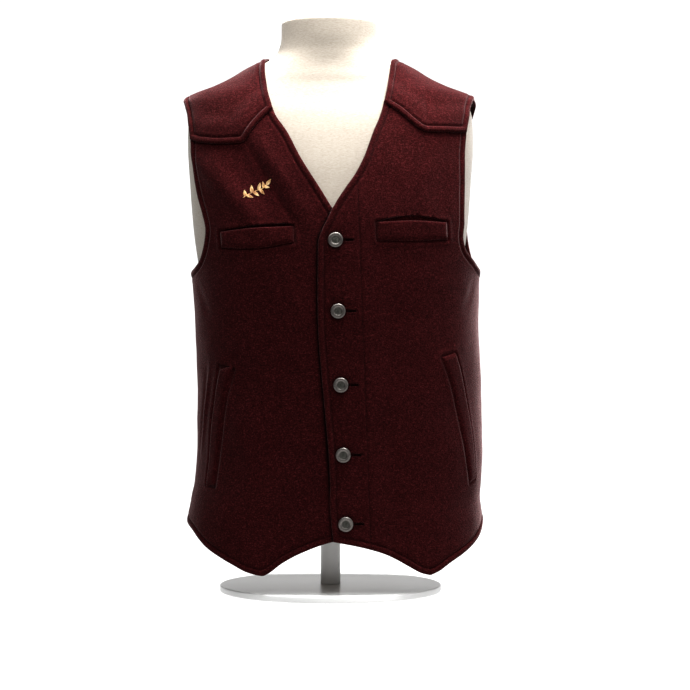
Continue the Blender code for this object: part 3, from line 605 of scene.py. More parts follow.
class Panel:
    """A piece of cloth on the body, from its cut in tape and height.

    Each edge has its line, its finish, and whether it is stitched. Raised gives the height of the outer face
    over the body, for rows of (tape, height) and their places.
    """

    def __init__(self, name, grid, edges, raised, back=False, details=()):
        self.name, self.grid, self.raised, self.back, self.details = name, grid, raised, back, details
        self.sewn = [line for line, finish, stitched in edges if stitched]
        self.stitched = Lines([self.seat(line) for line in self.sewn])
        self.turned, self.seams = (
            Lines([self.seat(line) for line, finish, stitched in edges if finish == kind])
            for kind in ("turned", "seam"))

    def seat(self, flat):
        return VEST.surface(flat, self.back)

    def outer(self, flat, lift=0.0):
        """Points of the outer face, with the body's directions there."""
        seat = self.seat(flat)
        normal = VEST.normals(seat)
        rise = self.raised(flat, seat) + self.border(seat) + sum(detail(flat) for detail in self.details)
        return seat + normal * (rise + lift)[:, None], normal

    def border(self, seat):
        """The relief of turned edges, seams and stitch lines."""
        inward = self.stitched.distance(seat)
        puff = BORDER_PUFF * smoothstep(inward, *PUFF_UP) * (1 - smoothstep(inward, *PUFF_DOWN))
        down = np.maximum(EDGE_DROP * rounding(self.turned.distance(seat)),
                          SEAM_DROP * rounding(self.seams.distance(seat)))
        return puff + bumps(inward, BORDER_RELIEF) - down

    def inner(self, flat):
        """Points of the inner face."""
        seat = self.seat(flat)
        rise = self.raised(flat, seat) - WALL + EDGE_DROP * rounding(self.turned.distance(seat))
        return seat + VEST.normals(seat) * rise[:, None]

    def make(self, finish, near=None, levels=(), shade=None):
        """The piece as one closed mesh, with finer cells near some places."""
        shape, plain = self.grid.shape[:2], self.grid.reshape(-1, 2)
        shell = bmesh.new()
        points = [shell.verts.new((tape, height, 0.0)) for tape, height in plain]
        for corners in grid_cells(*shape):
            shell.faces.new([points[corner] for corner in corners])
        for reach in levels:
            middles = np.array([face.calc_center_median()[:2] for face in shell.faces])
            chosen = {line for face, is_close in zip(shell.faces, near(middles) < reach) if is_close
                      for line in face.edges if not line.is_boundary}
            bmesh.ops.subdivide_edges(shell, edges=list(chosen), cuts=1, use_grid_fill=True)
        shell.verts.index_update()
        flat = np.array([point.co[:2] for point in shell.verts])
        faces = [[point.index for point in face.verts] for face in shell.faces]
        shell.free()
        piece = closed_piece(self.name, self.outer(flat)[0], self.inner(plain), faces, shape, finish)
        # Painted shade for the wool to read: darker along the stitch lines, and wherever the shade function
        # adds more
        painted_shade = bumps(self.stitched.distance(self.seat(flat)), STITCH_SHADE)
        if shade:
            painted_shade = np.maximum(painted_shade, shade(flat))
        set_values(piece, "painted_shade", np.pad(painted_shade, (0, len(plain))))
        return piece

    def flat_area(self):
        """Area of the cut that shows, in square metres."""
        seat = self.seat(self.grid.reshape(-1, 2)).reshape(*self.grid.shape[:2], 3)
        crossed = np.cross(seat[1:, 1:] - seat[:-1, :-1], seat[1:, :-1] - seat[:-1, 1:])
        return float(np.linalg.norm(crossed, axis=2).sum() / 2) * MM * MM

    def inset(self, line, distance):
        """A line moved into the cloth by a real distance, in tape and height."""
        places = self.seat(line)
        inward = np.cross(VEST.normals(places), np.gradient(places, axis=0))
        inward *= distance / np.linalg.norm(inward, axis=1)[:, None]
        step = 0.5
        by_tape = (self.seat(line + [step, 0.0]) - places) / step
        by_height = (self.seat(line + [0.0, step]) - places) / step
        return np.array([at + np.linalg.lstsq(np.column_stack([one, two]), wanted, rcond=None)[0]
                         for at, wanted, one, two in zip(line, inward, by_tape, by_height)])

    def stitch_lines(self):
        """The rows of stitches inside the stitched edges, as lines of tape and height."""
        kept = []
        for border_line in self.sewn:
            line = self.inset(border_line, STITCH_INSET if self.inside(border_line) else -STITCH_INSET)
            clear = self.stitched.distance(self.seat(line)) > STITCH_INSET - 0.35
            kept += [part for part in split(line, clear & self.covers(line)) if len(part) > 2]
        return kept

    def covers(self, flat):
        """Whether points of tape and height lie within the cut."""
        rim = outline(self.grid)
        within = np.zeros(len(flat), dtype=bool)
        for (tape_1, height_1), (tape_2, height_2) in zip(rim, np.roll(rim, -1, axis=0)):
            if height_1 != height_2:
                between = (flat[:, 1] < height_1) != (flat[:, 1] < height_2)
                crossing = tape_1 + (flat[:, 1] - height_1) * (tape_2 - tape_1) / (height_2 - height_1)
                within ^= between & (flat[:, 0] < crossing)
        return within

    def inside(self, line):
        """Whether a small step to the left of a line leads into the cloth."""
        middle = len(line) // 2
        return self.covers(self.inset(line[middle - 2:middle + 3], 4.0)[2:3])[0]


def split(line, keep):
    """The stretches of a line whose points are kept."""
    ends = np.flatnonzero(np.diff(np.pad(keep.astype(int), 1)))
    return [line[first:last] for first, last in ends.reshape(-1, 2)]


def add_piece(name, points, faces, finish):
    """A smooth piece from points in millimetres, riding on the body."""
    mesh = bpy.data.meshes.new(name)
    mesh.from_pydata((np.asarray(points) * MM).tolist(), [], [list(face) for face in faces])
    mesh.update()
    mesh.shade_smooth()
    mesh.materials.append(finish)
    piece = bpy.data.objects.new(name, mesh)
    bpy.context.scene.collection.objects.link(piece)
    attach(piece, BODY)
    return piece


def closed_piece(name, outer, inner, faces, shape, finish):
    """A piece of cloth: the outer face, the inner face on a plain grid, and the rim between them."""
    base = len(outer)
    rim = outline(np.arange(shape[0] * shape[1]).reshape(shape)).tolist()
    faces = faces + [[base + corner for corner in (a, d, c, b)] for a, b, c, d in grid_cells(*shape)]
    faces += [[second, first, base + first, base + second] for first, second in zip(rim, rim[1:] + rim[:1])]
    return add_piece(name, np.concatenate([outer, inner]), faces, finish)


def set_values(piece, name, values):
    """Gives each point of a piece a value that its finish reads."""
    attribute = piece.data.attributes.new(name, "FLOAT", "POINT")
    attribute.data.foreach_set("value", np.array(values, dtype=np.float32))


def tube_faces(rings, sides, base=0):
    """The faces between rings of points, and last the two that close the ends."""
    faces = [[low + i, low + (i + 1) % sides, low + sides + (i + 1) % sides, low + sides + i]
             for low in range(base, base + (rings - 1) * sides, sides) for i in range(sides)]
    faces.append([base + i for i in reversed(range(sides))])
    faces.append([base + (rings - 1) * sides + i for i in range(sides)])
    return faces


def stitches(panel, first, second, lift=0.0):
    """The two ends of stitches on a panel, and the way out of the cloth."""
    (one, normal), (two, _) = panel.outer(first, lift), panel.outer(second, lift)
    return one, two, normal


def even_stitches(panel, line):
    """Stitches along a line of tape and height."""
    length = length_along(panel.seat(line))
    starts = np.arange(0.6, length[-1] - STITCH, STITCH_PITCH)
    return stitches(panel, follow(starts, length, line), follow(starts + STITCH, length, line))


def threads(name, ends, finish, radius=THREAD_RADIUS, sides=6):
    """Many short threads in one mesh. Each arches out a little, and its ends go into the cloth."""
    # Columns: place along the thread, height, thickness
    rings = [(0.0, -0.9, 0.45), (0.14, 0.0, 0.9), (0.5, 0.45, 1.0), (0.86, 0.0, 0.9), (1.0, -0.9, 0.45)]
    angles = np.linspace(2 * math.pi, 0.0, sides, endpoint=False)
    points, faces = [], []
    for start, end, out in zip(*(np.concatenate(column) for column in zip(*ends))):
        along = end - start
        across = np.cross(out, along)
        across /= np.linalg.norm(across)
        faces += tube_faces(len(rings), sides, len(points))
        for place, height, thick in rings:
            middle = start + along * place + out * height * radius
            points += [middle + radius * thick * (across * math.cos(angle) + out * math.sin(angle))
                       for angle in angles]
    return add_piece(name, points, faces, finish)


def front_raise(side):
    """The height of a front's outer face over the body."""

    def raised(flat, seat):
        rise = relief(flat, FRONT_FOLDS) + relief(flat, FRONT_CREASES) + wobble(seat)
        if side == LEFT:
            rise += LAP_LIFT * (1 - smoothstep(from_buttons(flat), LAP_FLAT, LAP_FADE))
        return rise

    return raised


class Welt:
    """A pocket welt's strip on a front: level at the chest, upright at the side."""

    def __init__(self, side, upright):
        rows = np.array((SIDE_WELT if upright else CHEST_WELT)[side], dtype=float)
        tapes, heights, widths = smooth(np.linspace(0.0, 1.0, 61), np.linspace(0.0, 1.0, len(rows)), rows).T
        self.side, self.upright = side, upright
        self.middle, self.half = np.column_stack([side * tapes, heights]), widths / 2
        self.across = np.array([1.0, 0.25] if upright else [0.0, 1.0])
        self.length = np.linalg.norm(self.middle[-1] - self.middle[0])

    def place(self, flat):
        """Where points lie: their share of its length, their place across it, and its half width there."""
        start = self.middle[0]
        along = self.middle[-1] - start
        share, fine = (((points - start) @ along) / (along @ along) for points in (flat, self.middle))
        off = (flat - follow(share, fine, self.middle)) @ self.across / (self.across @ self.across)
        return share, off, np.interp(share, fine, self.half)

    def distance(self, flat):
        """Distance outside the strip's outline, negative inside it."""
        share, off, width = self.place(flat)
        beyond = np.maximum(-share, share - 1) * self.length
        aside = (np.abs(off) - width) * np.linalg.norm(self.across)
        outside = np.hypot(np.maximum(beyond, 0.0), np.maximum(aside, 0.0))
        return np.where((beyond < 0) & (aside < 0), np.maximum(beyond, aside), outside)

    def end_distance(self, flat):
        """Distance from the strip's two short ends."""
        share, off, width = self.place(flat)
        beyond = np.abs(np.abs(share - 0.5) - 0.5) * self.length
        return np.hypot(beyond, np.maximum(np.abs(off) - width, 0.0))

    def above(self, flat):
        """How far points lie above the strip's upper edge."""
        share, off, width = self.place(flat)
        return off - width

    def mouth(self, flat):
        """How far inside the pocket's mouth points are. The mouth is a lens above the welt."""
        share, above = np.clip(self.place(flat)[0], 0.0, 1.0), self.above(flat)
        lens = 2.02 * share * (1 - share) ** 0.3 if self.side == RIGHT else (4 * share * (1 - share)) ** 0.8
        inside = np.minimum(MOUTH_GAPE[self.side] * lens - above, above + 3.0)
        return np.where((share > 0.0) & (share < 1.0), inside, -10.0)


CHEST = {side: Welt(side, False) for side in WORD}
LOW = {side: Welt(side, True) for side in WORD}


def front_details(side):
    """Relief round the pockets, and on the left front the facing's stitch line and the buttonholes."""

    def pockets(flat):
        rise = -MOUTH_DEPTH * smoothstep(CHEST[side].mouth(flat), 0.0, MOUTH_LIP)
        for welt, strength in ((CHEST[side], 1.0), (LOW[side], 0.6)):
            rise += strength * bumps(welt.distance(flat), POCKET_RELIEF)
        return rise

    def facing(flat):
        height = flat[:, 1]
        ends = smoothstep(height, *FACING_STARTS) * (1 - smoothstep(height, *FACING_STOPS))
        return bumps(from_buttons(flat) - FACING_INSET, FACING_RELIEF) * ends

    def buttonholes(flat):
        rise = np.zeros(len(flat))
        for height in BUTTON_HEIGHTS:
            distance = slit_distance(flat, height)
            tape, up = off_button(flat, height)
            rise += 0.5 * bell(distance, 1.9, 0.9) - 1.9 * (1 - smoothstep(distance, 0.15, 0.8))
            rise -= 0.5 * bell(tape, 14.0, 16.0) * bell(up, 0.0, 5.0)
            rise -= 0.9 * bell(np.hypot(tape, up), 0.0, 9.0)
        return rise

    return [pockets, facing, buttonholes] if side == LEFT else [pockets]


def from_lap(flat):
    """Tape from the line on the right front where the left front's edge lies over it."""
    rows = [(height, tape) for tape, height in LAP_EDGE] + [(row[0], row[2]) for row in NECK_EDGE[:4]]
    return from_buttons(flat) - np.interp(flat[:, 1], *zip(*rows))


def slit_distance(flat, height):
    """Distance from a buttonhole's keyhole outline, 0 inside it."""
    tape, up = off_button(flat, height)
    slit = np.hypot(tape - np.clip(tape, 0.0, SLIT_LENGTH), up) - SLIT_WIDTH / 2
    return np.maximum(np.minimum(slit, np.hypot(tape, up) - EYELET_RADIUS), 0.0)


def nearness(flat, side):
    """How near points are to the small forms of a front, which need finer cells."""
    chest, low = CHEST[side], LOW[side]
    distance = np.minimum(np.abs(chest.distance(flat)) + 0.5, np.abs(low.distance(flat)) + 1.0)
    distance = np.where(chest.mouth(flat) > -0.6, 0.0, distance)
    if side == RIGHT:
        return np.minimum(distance, np.abs(from_lap(flat)) + 1.6)
    slits = [slit_distance(flat, height) for height in BUTTON_HEIGHTS]
    return np.min([distance, *slits, np.abs(from_buttons(flat) - FACING_INSET) + 2.0], axis=0)


def darkness(flat, side):
    """How dark a front is painted where shade falls: in its mouths and slits, beside its welts and buttons,
    and under the lap.
    """
    chest, low = CHEST[side], LOW[side]
    mouth = smoothstep(chest.mouth(flat), 0.2, MOUTH_LIP)
    shades = [bumps(chest.distance(flat), CHEST_SHADE), bumps(low.distance(flat), SIDE_SHADE),
              END_SHADE[side] * bell(low.end_distance(flat), 1.0, 1.5)]
    if side == RIGHT:
        shades.append(LAP_SHADE * bell(from_lap(flat), -0.4, 2.5))
    else:
        mouth *= 0.35 + 0.6 * bell(chest.above(flat), 0.0, 1.6)
        shades.append(0.3 * bell(from_buttons(flat), FACING_INSET, 0.8) * (flat[:, 1] < FACING_TOP))
        for height in BUTTON_HEIGHTS:
            slit = slit_distance(flat, height)
            radius = np.hypot(*off_button(flat, height))
            shades += [0.9 * (1 - smoothstep(slit, 0.0, 0.5)), 0.55 * bell(radius, 8.0, 3.0),
                       0.6 * bell(slit, 0.0, 2.6) * bell(radius, 8.0, 9.0)]
    return np.max([mouth, *shades], axis=0)


def front_panel(side):
    """A front, from its hem to just under its yoke."""
    side_seam = side_line(side, SIDE_HEM_HEIGHT, UNDERARM_HEIGHT)
    hem = from_line(side, HEM[side]) + [side_seam[0]]
    tip = min(range(len(hem)), key=lambda i: hem[i][1])
    corner = len(YOKE_SLANT[side]) - 1
    seam = YOKE_SLANT[side] + YOKE_LEVEL[side][1:]
    top = [(side * (tape + YOKE_LAP[0]), height + YOKE_LAP[1]) for tape, height in seam]
    top[0] = neck_point(side, top[0][1])
    top[-1] = armhole_point(side, top[-1][1])
    v_start = NECK_EDGE[0][0]
    if side == RIGHT:
        lap = from_line(side, [(-UNDER_LAP, height) for height in np.linspace(hem[0][1], v_start, 9)])
        neck = neck_edge(side, v_start, top[0][1])
    else:
        lap = from_line(side, LAP_EDGE)
        neck = [lap[-1]] + neck_edge(side, v_start, top[0][1])
    arm = [side_seam[-1]] + armhole_edge(side, UNDERARM_HEIGHT, top[-1][1]) + [top[-1]]
    first, second = (FINER * count for count in FRONT_COLUMNS)
    low_rows, high_rows = FINER * SIDE_ROWS, FINER * FRONT_ROWS
    inner = edge(run(lap, low_rows), run(neck, high_rows))
    outer = edge(run(side_seam, low_rows), run(arm, high_rows))
    bottom = edge(run(hem[:tip + 1], first), run(hem[tip:], second))
    above = edge(run(top[:corner + 1], first), run(top[corner:], second))
    grid = recut_both(patch(bottom, above, inner, outer), PLAIN_STOPS)
    edges = [(bottom, "turned", True), (inner[:low_rows + 1], "turned", side == LEFT),
             (inner[low_rows:], "turned", True), (outer[:low_rows + 1], "seam", False),
             (outer[low_rows:], "turned", True)]
    return Panel("front_%s_cloth" % WORD[side], grid, edges, front_raise(side), details=front_details(side))


def yoke_panel(side):
    """A shoulder yoke, whose lower edge laps over the front."""
    shoulder = side_line(side, NECK_POINT_HEIGHT, SHOULDER_TIP[side])
    slant, level = from_middle(side, YOKE_SLANT[side]), from_middle(side, YOKE_LEVEL[side])
    neck = neck_edge(side, slant[0][1], NECK_EDGE[-1][0]) + [shoulder[0]]
    slant[0] = neck[0]
    level[-1] = armhole_point(side, level[-1][1])
    arm = [level[-1]] + armhole_edge(side, level[-1][1] + POINT_SPACE, SHOULDER_TIP[side]) + [shoulder[-1]]
    low = level[-1][1]
    arm = [(tape - side * YOKE_TUCK * (1 - float(smoothstep(height, low, low + YOKE_TUCK_RISE))), height)
           for tape, height in arm]
    level[-1] = arm[0]
    first, second = (FINER * count for count in YOKE_COLUMNS)
    rows = FINER * YOKE_ROWS
    bottom = edge(run(slant, first), run(level, second))
    top = run(shoulder, first + second)
    inner, outer = run(neck, rows), run(arm, rows)
    grid = recut_both(patch(bottom, top, inner, outer))
    edges = [(bottom, "turned", True), (top, "seam", True), (inner, "turned", True), (outer, "turned", True)]
    lower = Lines([VEST.surface(bottom)])
    lie = front_raise(RIGHT)

    def raised(flat, seat):
        return lie(flat, seat) + YOKE_LIFT * (1 - smoothstep(lower.distance(seat), YOKE_FLAT, YOKE_FADE))

    return Panel("yoke_%s_cloth" % WORD[side], grid, edges, raised)


def back_panel():
    """The plain back, from side seam to side seam."""
    seams, arms, shoulders, slope = {}, {}, {}, {}
    for side in WORD:
        seam = side_line(side, SIDE_HEM_HEIGHT, UNDERARM_HEIGHT, True)
        shoulders[side] = side_line(side, SHOULDER_TIP[side], NECK_POINT_HEIGHT, True)
        arm = [seam[-1]] + from_middle(side, ARMHOLE_BACK) + [shoulders[side][0]]
        seams[side] = run(seam, FINER * SIDE_ROWS, True)
        arms[side] = run(arm, FINER * BACK_ROWS, True, BACK_GRADE)
        slope[side] = run(shoulders[side], FINER * SHOULDER_COLUMNS, True)
    hem = [seams[RIGHT][0], (0.0, SIDE_HEM_HEIGHT - HEM_DROP), seams[LEFT][0]]
    nape = from_middle(RIGHT, NAPE_EDGE[:0:-1]) + from_middle(LEFT, NAPE_EDGE)
    neck = run([shoulders[RIGHT][-1]] + nape + [shoulders[LEFT][-1]], FINER * NAPE_COLUMNS, True)
    top = edge(slope[RIGHT], neck, slope[LEFT][::-1])
    bottom = run(hem, len(top) - 1, True)
    right, left = (edge(seams[side], arms[side]) for side in WORD)
    grid = recut_both(patch(bottom, top, right, left, True), back=True)
    edges = [(bottom, "turned", True), (neck, "turned", True)]
    for side in WORD:
        edges += [(seams[side], "seam", False), (arms[side], "turned", True), (slope[side], "seam", True)]

    def raised(flat, seat):
        return relief(flat, BACK_FOLDS) + relief(flat, BACK_CREASES) + wobble(seat)

    return Panel("back_cloth", grid, edges, raised, back=True)


def welt_piece(welt, finish):
    """A padded-looking strip, sewn down on all sides but its mouth."""
    ends = np.array(WELT_ENDS) / welt.length
    even = np.concatenate([ends[:-1], np.linspace(ends[-1], 1 - ends[-1], WELT_CELLS + 1), 1 - ends[-2::-1]])
    places = np.linspace(0.0, 1.0, len(welt.middle))
    line, width = follow(even, places, welt.middle), np.interp(even, places, welt.half)
    grid = np.stack([line + share * width[:, None] * welt.across for share in WELT_ACROSS])
    flat = grid.reshape(-1, 2)
    seat = VEST.surface(flat)
    normal = VEST.normals(seat)
    base = front_raise(welt.side)(flat, seat)
    share, off = np.tile(even, len(WELT_ACROSS)), np.repeat(WELT_ACROSS, len(even))
    reach = np.tile(width, len(WELT_ACROSS)) * np.linalg.norm(welt.across)
    from_mouth, from_sewn = (1 - off) * reach, (1 + off) * reach
    if welt.upright and welt.side == RIGHT:
        from_mouth, from_sewn = from_sewn, from_mouth
    sewn = np.minimum(np.minimum(share, 1 - share) * welt.length, from_sewn)
    thickness = (WELT_GAP + WELT_WALL) * (SIDE_WELT_FLAT if welt.upright else 1.0)
    top = thickness + 0.5 * smoothstep(sewn, 1.5, 6.0)
    drop_mouth = (top - 1.0) * rounding(from_mouth, MOUTH_ROUND)
    drop_sewn = (top + 0.2) * np.clip(1 - sewn / SEWN_REACH, 0.0, 1.0) ** SEWN_POWER
    height = top - np.maximum(drop_sewn, drop_mouth)
    under = np.minimum(WELT_GAP + 0.5 * drop_mouth, height - 0.08)
    outer, inner = (seat + normal * (base + lift)[:, None] for lift in (height, under))
    shape = grid.shape[:2]
    name = ("side" if welt.upright else "chest") + "_welt_" + WORD[welt.side]
    piece = closed_piece(name + "_cloth", outer, inner, grid_cells(*shape), shape, finish)
    face_out(piece)
    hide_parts(name)


def face_out(piece):
    """Turns a closed piece's faces out."""
    shell = bmesh.new()
    shell.from_mesh(piece.data)
    bmesh.ops.recalc_face_normals(shell, faces=shell.faces)
    shell.to_mesh(piece.data)
    shell.free()


def button_frame(height):
    """Where a button sits on the right front, and its axis."""
    flat = np.array([[float(button_line(height)), height]])
    seat = VEST.surface(flat)
    normal = VEST.normals(seat)[0]
    place = seat[0] + normal * float(relief(flat, FRONT_FOLDS)[0])
    across = Vector(np.cross((0.0, 0.0, 1.0), normal)).normalized()
    axis = Vector(normal)
    turn = Matrix((across, axis.cross(across), axis)).transposed().to_4x4()
    return Matrix.Translation(Vector(place)) @ turn


def turned(name, profile, sides, finish, place=None, ripple=None):
    """A closed solid of revolution from a profile of (radius, height) that starts and ends on the axis."""
    place = place or Matrix.Identity(4)
    rings = profile[1:-1]
    points = [place @ Vector((0.0, 0.0, profile[end][1])) for end in (0, -1)]
    for radius, height in rings:
        for angle in np.linspace(0.0, 2 * math.pi, sides, endpoint=False):
            lift = ripple(radius, height, angle) if ripple else 0.0
            spot = Vector((radius * math.cos(angle), radius * math.sin(angle), height + lift))
            points.append(place @ spot)
    faces = tube_faces(len(rings), sides, 2)[:-2]
    last = 2 + (len(rings) - 1) * sides
    for i in range(sides):
        following = (i + 1) % sides
        faces += [(0, 2 + following, 2 + i), (1, last + i, last + following)]
    piece = add_piece(name, points, faces, finish)
    face_out(piece)
    return piece


def button(number, height, finish):
    """A cast head with a broad rim round a sunk, rayed middle, on a shank."""
    under = LAP_LIFT + LAY_GAP
    profile = [(0.0, LAY_GAP), (SHANK_RADIUS, LAY_GAP), (SHANK_RADIUS, under)]
    profile += [(radius, under + rise) for radius, rise in BUTTON_HEAD[1:]]

    def rays(radius, level, angle):
        if level < under + 1.5 or radius > RAY_REACH:
            return 0.0
        return RAY_DEPTH * math.cos(BUTTON_RAYS * angle) * math.sin(math.pi * radius / RAY_REACH)

    place = button_frame(height)
    piece = turned("button_%d_cast" % number, profile, BUTTON_SIDES, finish, place, rays)
    axis = place.to_3x3() @ Vector((0.0, 0.0, 1.0))
    # Values for the finish: a dull patina in the sunk middle, and painted shade low on the head's side and
    # under it, next to the cloth
    values = []
    for point in piece.data.vertices:
        off = point.co / MM - place.translation
        rise = off.dot(axis)
        radius = (off - axis * rise).length
        sunk = 0.85 * (1.1 - 0.35 * radius / SUNK_RADIUS) if radius < SUNK_RADIUS else 0.0
        values.append(max(sunk, 1.0 - min(max((rise - under - 0.6) / 1.6, 0.0), 1.0)))
    set_values(piece, "tarnish_and_shade", values)
    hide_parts("button_%d" % number)


def rounded_corner(radius, count):
    """A quarter circle: how far its points are from the one face and from the other."""
    angles = np.linspace(0.0, QUARTER_TURN, count)
    return [(radius * (1 - math.cos(angle)), radius * (1 - math.sin(angle))) for angle in angles]


def form_torso(finish):
    """The form's torso and neck, one closed skin."""
    bottom, top = FORM_SECTIONS[0][0], FORM_SECTIONS[-1][0]
    corner = 5.0
    rings = [(bottom + rise, inset) for rise, inset in rounded_corner(corner, 7)]
    rings += [(height, 0.0) for height in np.arange(bottom + 10.0, SHOULDERS_START, 10.0)]
    rings += [(height, 0.0) for height in np.arange(SHOULDERS_START, top - corner - 1.0, 3.0)]
    rings += [(top - drop, inset) for drop, inset in reversed(rounded_corner(corner, 9))]
    turns = np.linspace(-QUARTER_TURN, QUARTER_TURN, TORSO_SIDES // 2 + 1)
    points = []
    for height, inset in rings:
        size = FORM.at(height)
        halves = [FORM.oval(height, turns, False), FORM.oval(height, turns[-2:0:-1], True)]
        x, y = np.concatenate(halves, axis=1)
        shrink = 1 - inset / size["half_width"]
        points += [(size["centre_x"] + across * shrink, size["centre_y"] + depth * shrink, height)
                   for across, depth in zip(x - size["centre_x"], y - size["centre_y"])]
    faces = tube_faces(len(rings), TORSO_SIDES)
    piece = add_piece("form_torso_cover", points, faces, finish)
    piece.data.set_sharp_from_angle(angle=SHARP)
    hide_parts("form_torso")


def stand(finish):
    """The round base plate and the post."""
    arc = [(BASE_RADIUS - inset, rise) for rise, inset in rounded_corner(1.5, 6)]
    plate = [(0.0, 0.0)] + arc + [(radius, BASE_THICK - rise) for radius, rise in reversed(arc)]
    low, high = BASE_THICK + SEAM_GAP, FORM_SECTIONS[0][0] - SEAM_GAP
    tube = [(0.0, low), (POST_RADIUS, low), (POST_RADIUS, high), (0.0, high)]
    plate.append((0.0, BASE_THICK))
    for name, profile, sides, node in (("form_base_plate", plate, BASE_SIDES, "form_base"),
                                       ("form_post_tube", tube, POST_SIDES, "form_post")):
        piece = turned(name, profile, sides, finish)
        piece.data.set_sharp_from_angle(angle=SHARP)
        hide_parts(node)


class Nodes:
    """A short way to write a material's nodes."""

    def __init__(self, name):
        self.material = bpy.data.materials.new(name)
        self.material.use_nodes = True
        self.tree = self.material.node_tree

    def set(self, node, inputs):
        """Links or sets some inputs of a node."""
        for name, value in inputs.items():
            socket = node.inputs[name]
            if isinstance(value, bpy.types.NodeSocket):
                self.tree.links.new(value, socket)
            else:
                socket.default_value = (*value, 1.0) if socket.type == "RGBA" else value

    def add(self, kind, inputs):
        node = self.tree.nodes.new(kind)
        self.set(node, inputs)
        return node

    def math(self, operation, *values):
        node = self.add("ShaderNodeMath", dict(enumerate(values)))
        node.operation = operation
        return node.outputs[0]

    def place(self, scale=None):
        place = self.tree.nodes.new("ShaderNodeTexCoord").outputs["Object"]
        if scale is None:
            return place
        return self.add("ShaderNodeMapping", {"Vector": place, "Scale": scale}).outputs[0]

    def axes(self):
        return self.add("ShaderNodeSeparateXYZ", {"Vector": self.place()}).outputs

    def noise(self, scale, detail=2.0, roughness=0.5, place=None):
        inputs = {"Vector": place or self.place(), "Scale": scale, "Detail": detail, "Roughness": roughness}
        return self.add("ShaderNodeTexNoise", inputs).outputs["Fac"]

    def ramp(self, value, stops):
        node = self.add("ShaderNodeValToRGB", {"Fac": value})
        elements = node.color_ramp.elements
        while len(elements) < len(stops):
            elements.new(0.5)
        for element, (position, colour) in zip(elements, stops):
            element.position = position
            element.color = (*np.broadcast_to(colour, 3), 1.0)
        return node.outputs["Color"]

    def mix(self, factor, one, two, blend="MIX"):
        node = self.tree.nodes.new("ShaderNodeMix")
        node.data_type = "RGBA"
        node.blend_type = blend
        self.set(node, {0: factor, 6: one, 7: two})
        return node.outputs[2]

    def attribute(self, name):
        node = self.tree.nodes.new("ShaderNodeAttribute")
        node.attribute_name = name
        return node.outputs["Fac"]

    def bump(self, height, distance, strength):
        inputs = {"Height": height, "Distance": distance, "Strength": strength}
        return self.add("ShaderNodeBump", inputs).outputs["Normal"]

    def finish(self, inputs):
        self.set(self.tree.nodes["Principled BSDF"], inputs)
        return self.material


def wool():
    """Heather wool flannel: brushed fibres of several browns and reds."""
    n = Nodes("wool_flannel")
    fibres = n.noise(900.0, 3.0, 0.7)
    flecks = n.noise(430.0, 2.0, 0.6, n.place((1.0, 1.0, 1.5)))
    clouds = n.noise(120.0, 2.0, 0.6)
    shade = n.noise(16.0, 2.0, 0.5)
    colour = n.ramp(fibres, [(0.30, (0.0065, 0.0008, 0.0008)), (0.50, (0.0295, 0.0033, 0.0037)),
                             (0.64, (0.056, 0.0082, 0.0086)), (0.78, (0.142, 0.034, 0.035))])
    light = n.ramp(flecks, [(0.55, 0.0), (0.70, 1.0)])
    colour = n.mix(n.math("MULTIPLY", light, 0.5), colour, (0.115, 0.022, 0.024))
    dark = n.ramp(flecks, [(0.30, 1.0), (0.46, 0.0)])
    colour = n.mix(n.math("MULTIPLY", dark, 0.55), colour, (0.009, 0.0020, 0.0020))
    uneven = n.math("ADD", n.math("MULTIPLY", clouds, 0.5), n.math("MULTIPLY", shade, 0.4))
    colour = n.mix(1.0, colour, n.ramp(uneven, [(0.25, 0.78), (0.65, 1.12)]), "MULTIPLY")
    # Painted shade from each point's value: darker in stitch grooves, pocket mouths and buttonholes, round
    # the buttons, beside the welts and under the lap's edge
    colour = n.mix(n.attribute("painted_shade"), colour, (0.0025, 0.0008, 0.0008))
    height = n.math("ADD", n.math("MULTIPLY", fibres, 0.7), n.math("MULTIPLY", flecks, 0.6))
    return n.finish({"Base Color": colour, "Roughness": 0.95, "Specular IOR Level": 0.03,
                     "Sheen Weight": 0.25, "Sheen Roughness": 0.34, "Sheen Tint": (0.95, 0.68, 0.68),
                     "Normal": n.bump(height, 0.0006, 0.9)})


def thread():
    """Sewing thread of the cloth's own colour."""
    n = Nodes("sewing_thread")
    twist = n.noise(2600.0, 1.0, 0.5)
    colour = n.ramp(twist, [(0.3, (0.010, 0.0020, 0.0020)), (0.7, (0.030, 0.007, 0.007))])
    return n.finish({"Base Color": colour, "Roughness": 0.95, "Specular IOR Level": 0.02,
                     "Normal": n.bump(twist, 0.0001, 0.6)})


def gold_thread():
    """Embroidery thread, gold to straw."""
    n = Nodes("gold_thread")
    twist = n.noise(2400.0, 1.0, 0.5)
    tone = n.noise(130.0, 1.0, 0.5)
    colour = n.ramp(tone, [(0.30, (0.34, 0.15, 0.045)), (0.5, (0.62, 0.38, 0.15)),
                           (0.66, (0.80, 0.60, 0.33))])
    return n.finish({"Base Color": colour, "Roughness": 0.42, "Specular IOR Level": 0.6, "Sheen Weight": 0.2,
                     "Normal": n.bump(twist, 0.0001, 0.6)})


